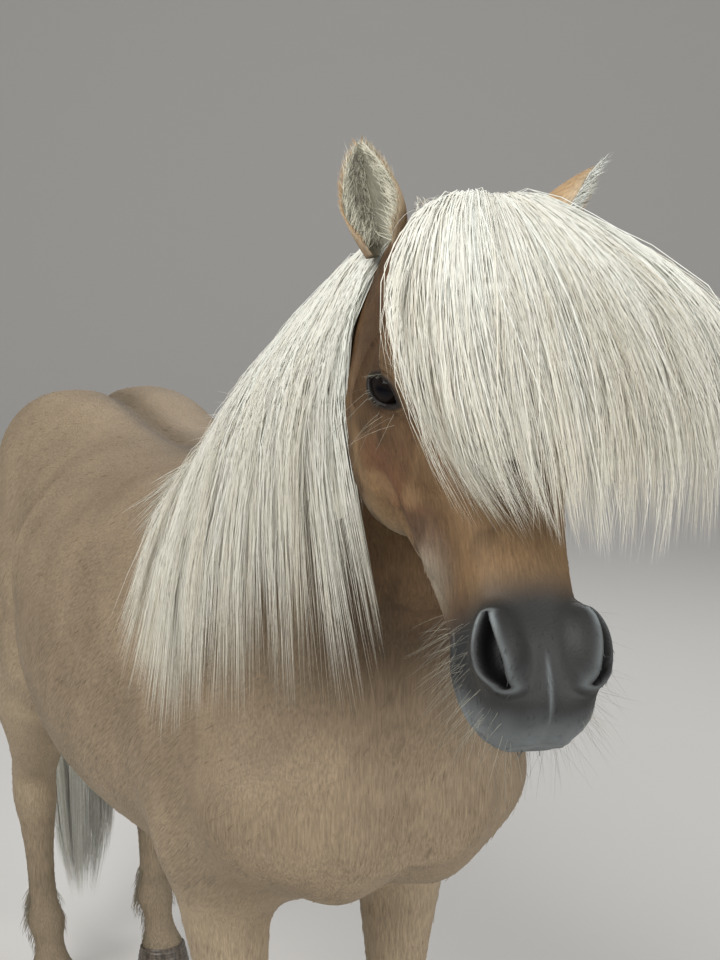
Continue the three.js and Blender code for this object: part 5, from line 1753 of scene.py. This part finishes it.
# Hair between the ears that curls up and over the roots of the forelock.
def make_poll_hair():
    random = np.random.default_rng(SEED + 60)
    count = 600
    roots = np.column_stack([
        random.uniform(-20, 12, count),
        random.uniform(-46, 44, count),
        np.full(count, -14.0),
    ])
    ways = np.column_stack([
        random.normal(0.7, 0.35, count),
        -0.012 * roots[:, 1] + random.normal(0, 0.4, count) - 0.25,
        np.full(count, 1.0),
    ])
    fall = from_head([[0.6, -0.3, -0.55]]) - from_head([[0, 0, 0]])
    length = random.uniform(24, 52, count)
    colours = blend_colours(random, count, FLAXEN, FLAXEN_DARK, 0.8, 1.05)
    loose_hair("poll_hair", from_head(roots), ways @ HEAD_WAYS.T, fall, length, 0.3, 0.14, colours, 8,
               SEED + 61, "hair")


make_poll_hair()
make_withers_hair()


# Feelers on lips and chin, round the nostrils and below the eye.
def make_feelers():
    random = np.random.default_rng(SEED + 70)

    def by_mouth(p):
        q, _ = mirrored_head(p)
        low = (q[:, 2] < -66) & (q[:, 0] > 318)
        side_lip = (q[:, 0] > 335) & (q[:, 2] < -40) & (q[:, 1] > 25)
        return (low | side_lip) & (q[:, 2] > -135) & (q[:, 1] < 70)

    def below_eye(p):
        _, b, h, outside, _ = eye_place(mirrored_head(p)[0])
        return (h > -10) & (outside > 7) & (outside < 14) & (b < -6)

    for name, where, count, longest, half in (
        ("feelers_mouth", by_mouth, 520, 42.0, 0.11),
        ("feelers_eye", below_eye, 14, 62.0, 0.15),
    ):
        roots, out = scatter(random, count, where)
        forward = HEAD_WAYS[:, 0]
        ways = out + 0.35 * forward + random.normal(0, 0.22, (count, 3)) + np.array([0, 0, -0.25])
        length = longest * random.uniform(0.35, 1.1, count)
        colours = blend_colours(random, count, CREAM, (0.1, 0.09, 0.08), 0.8, 1.2)
        loose_hair(name, roots, ways, (0, 0, -0.14), length, half, 0.05, colours, 6, SEED + 71, "face")


make_feelers()


# Lashes along the upper and the lower lid.
def make_lashes(side, sign):
    random = np.random.default_rng(SEED + 80 + sign)
    count = 120
    out, along, up = eye_ways()
    upper = np.arange(count) < 82
    u = random.uniform(-0.85, 0.85, count)
    a = u * EYE["reach"]
    b = np.where(upper, EYE["rise"] * (1 - u**2) + 1.2, -EYE["fall"] * (1 - u**2) - 1.0)
    h = np.sqrt((EYE["radius"] + 1.8) ** 2 - a**2 - b**2)
    roots = np.array(EYE["centre"]) + a[:, None] * along + b[:, None] * up + h[:, None] * out
    ways = out + 0.35 * u[:, None] * along + np.where(upper, 0.15, -0.45)[:, None] * up
    ways = ways + random.normal(0, 0.12, (count, 3))
    fall = np.where(upper, -0.2, 0.05)[:, None] * up
    mirror = np.array([1, sign, 1])
    length = np.where(upper, 13.0, 5.0) * random.uniform(0.6, 1.1, count)
    colours = blend_colours(random, count, CREAM, (0.02, 0.016, 0.012), 0.7, 1.1)
    colours = mix(colours, (0.015, 0.012, 0.01), smooth(0.3, -0.2, -u))
    loose_hair(f"lashes_{side}", from_head(roots * mirror), (ways * mirror) @ HEAD_WAYS.T,
               (fall * mirror) @ HEAD_WAYS.T, length, 0.16, 0.04, colours, 5, SEED + 82 + sign, "face")


for name, sign in SIDES:
    make_lashes(name, sign)


# Longer hair behind the fetlocks and over the tops of the hooves.
def make_feather():
    random = np.random.default_rng(SEED + 90)

    def behind(p):
        middle = np.where(p[:, 0] < MID_BODY_X, -722 - 0.1 * (p[:, 2] - 100), 82)
        return (p[:, 2] > 70) & (p[:, 2] < 175) & (p[:, 0] < middle - 4)

    def round_top(p):
        return (p[:, 2] > ABOVE_HOOVES) & (p[:, 2] < ABOVE_HOOVES + 20)

    for name, where, count, longest in (
        ("feather", behind, 1800, 34.0),
        ("coronet_hair", round_top, 1900, 13.0),
    ):
        roots, out = scatter(random, count, where)
        ways = 0.55 * out + np.array([0, 0, -1.0]) + random.normal(0, 0.12, (count, 3))
        length = longest * random.uniform(0.5, 1.1, count)
        colours = np.clip(markings_and_painted_light(roots)[0] * random.uniform(0.8, 1.3, (count, 1)), 0, 1)
        colours = mix(colours, CREAM, np.full(count, 0.25))
        loose_hair(name, roots, ways, -0.25 * out, length, 0.42, 0.06, colours, 4, SEED + 91, "coat")


make_feather()


# Camera, floor and light, in metres. The camera's way on the floor is also the floor's own.
CAMERA_AT = (1.411, -0.659, 1.22)
CAMERA_WAY = (-0.883, 0.469)
CAMERA_PITCH_DEG = 9.9
LENS_MM = 54.0
SENSOR_MM = 36.0
FLOOR_FROM = -6.0
FLOOR_TO = 5.0
FLOOR_HALF_WIDTH = 12.0
FLOOR_BEND = 3.0
BEND_STEPS = 14
WALL_TOP = 9.0
FLOOR_COLOUR = (0.62, 0.61, 0.59, 1)
FLOOR_ROUGHNESS = 0.8
SKY_COLOUR = (0.85, 0.845, 0.84, 1)
SKY_STRENGTH = 0.42
# Each light: its place, what it faces, its width and height, its power and its colour.
LIGHTS = {
    "key": ((1.2, -2.3, 3.1), (0.2, 0, 0.95), (2.2, 2.2), 118, (1, 0.99, 0.972)),
    "fill": ((3.2, 1.2, 2.1), (0.2, 0, 0.9), (2.4, 2.0), 66, (1, 1, 1)),
    "rim": ((-2.2, 1.8, 2.9), (0.1, 0, 0.9), (2.2, 1.6), 34, (1, 1, 1)),
}


def look(thing, target):
    way = Vector(target) - thing.location
    thing.rotation_euler = way.to_track_quat("-Z", "Y").to_euler()


def add_camera():
    data = bpy.data.cameras.new("camera")
    data.lens = LENS_MM
    data.sensor_width = SENSOR_MM
    camera = add_to_scene("camera", data)
    camera.location = Vector(CAMERA_AT) + Vector((SHIFT[0] / 1000, SHIFT[1] / 1000, 0))
    pitch = math.radians(CAMERA_PITCH_DEG)
    x, y = (part * math.cos(pitch) for part in CAMERA_WAY)
    look(camera, camera.location + Vector((x, y, -math.sin(pitch))))
    bpy.context.scene.camera = camera


def add_light(name, place, target, size, power, colour):
    data = bpy.data.lights.new(name, "AREA")
    data.shape = "RECTANGLE"
    data.size, data.size_y = size
    data.energy = power
    data.color = colour
    light = add_to_scene(name, data)
    light.location = place
    look(light, target)


def add_world():
    world = bpy.data.worlds.new("studio")
    bpy.context.scene.world = world
    world.use_nodes = True
    background = world.node_tree.nodes["Background"].inputs
    background["Color"].default_value = SKY_COLOUR
    background["Strength"].default_value = SKY_STRENGTH


# A floor that bends up into a wall behind the pony.
def add_floor():
    profile = [(FLOOR_FROM, 0.0), (FLOOR_TO, 0.0)]
    for step in range(1, BEND_STEPS + 1):
        turn = math.pi / 2 * step / BEND_STEPS
        profile.append((FLOOR_TO + FLOOR_BEND * math.sin(turn), FLOOR_BEND * (1 - math.cos(turn))))
    profile.append((FLOOR_TO + FLOOR_BEND, WALL_TOP))
    x, y = CAMERA_WAY
    facing, across = Vector((x, y, 0)), Vector((y, -x, 0))
    points = [
        facing * along + across * sideways + Vector((0, 0, height))
        for along, height in profile
        for sideways in (-FLOOR_HALF_WIDTH, FLOOR_HALF_WIDTH)
    ]
    faces = [(2 * i, 2 * i + 1, 2 * i + 3, 2 * i + 2) for i in range(len(profile) - 1)]
    mesh = bpy.data.meshes.new("floor")
    mesh.from_pydata([tuple(point) for point in points], [], faces)
    mesh.polygons.foreach_set("use_smooth", [True] * len(faces))
    material, _, dress = new_material("pale_floor")
    dress({}, Base_Color=FLOOR_COLOUR, Roughness=FLOOR_ROUGHNESS)
    mesh.materials.append(material)
    floor = add_to_scene("floor", mesh)
    floor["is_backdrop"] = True


add_camera()
for name, light in LIGHTS.items():
    add_light(name, *light)
add_world()
add_floor()
bpy.context.scene.view_settings.view_transform = "Standard"


def corners(bounds):
    return [[float(x) for x in corner] for corner in bounds]


{"cad": corners(cad_box), "visual": corners(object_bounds())}
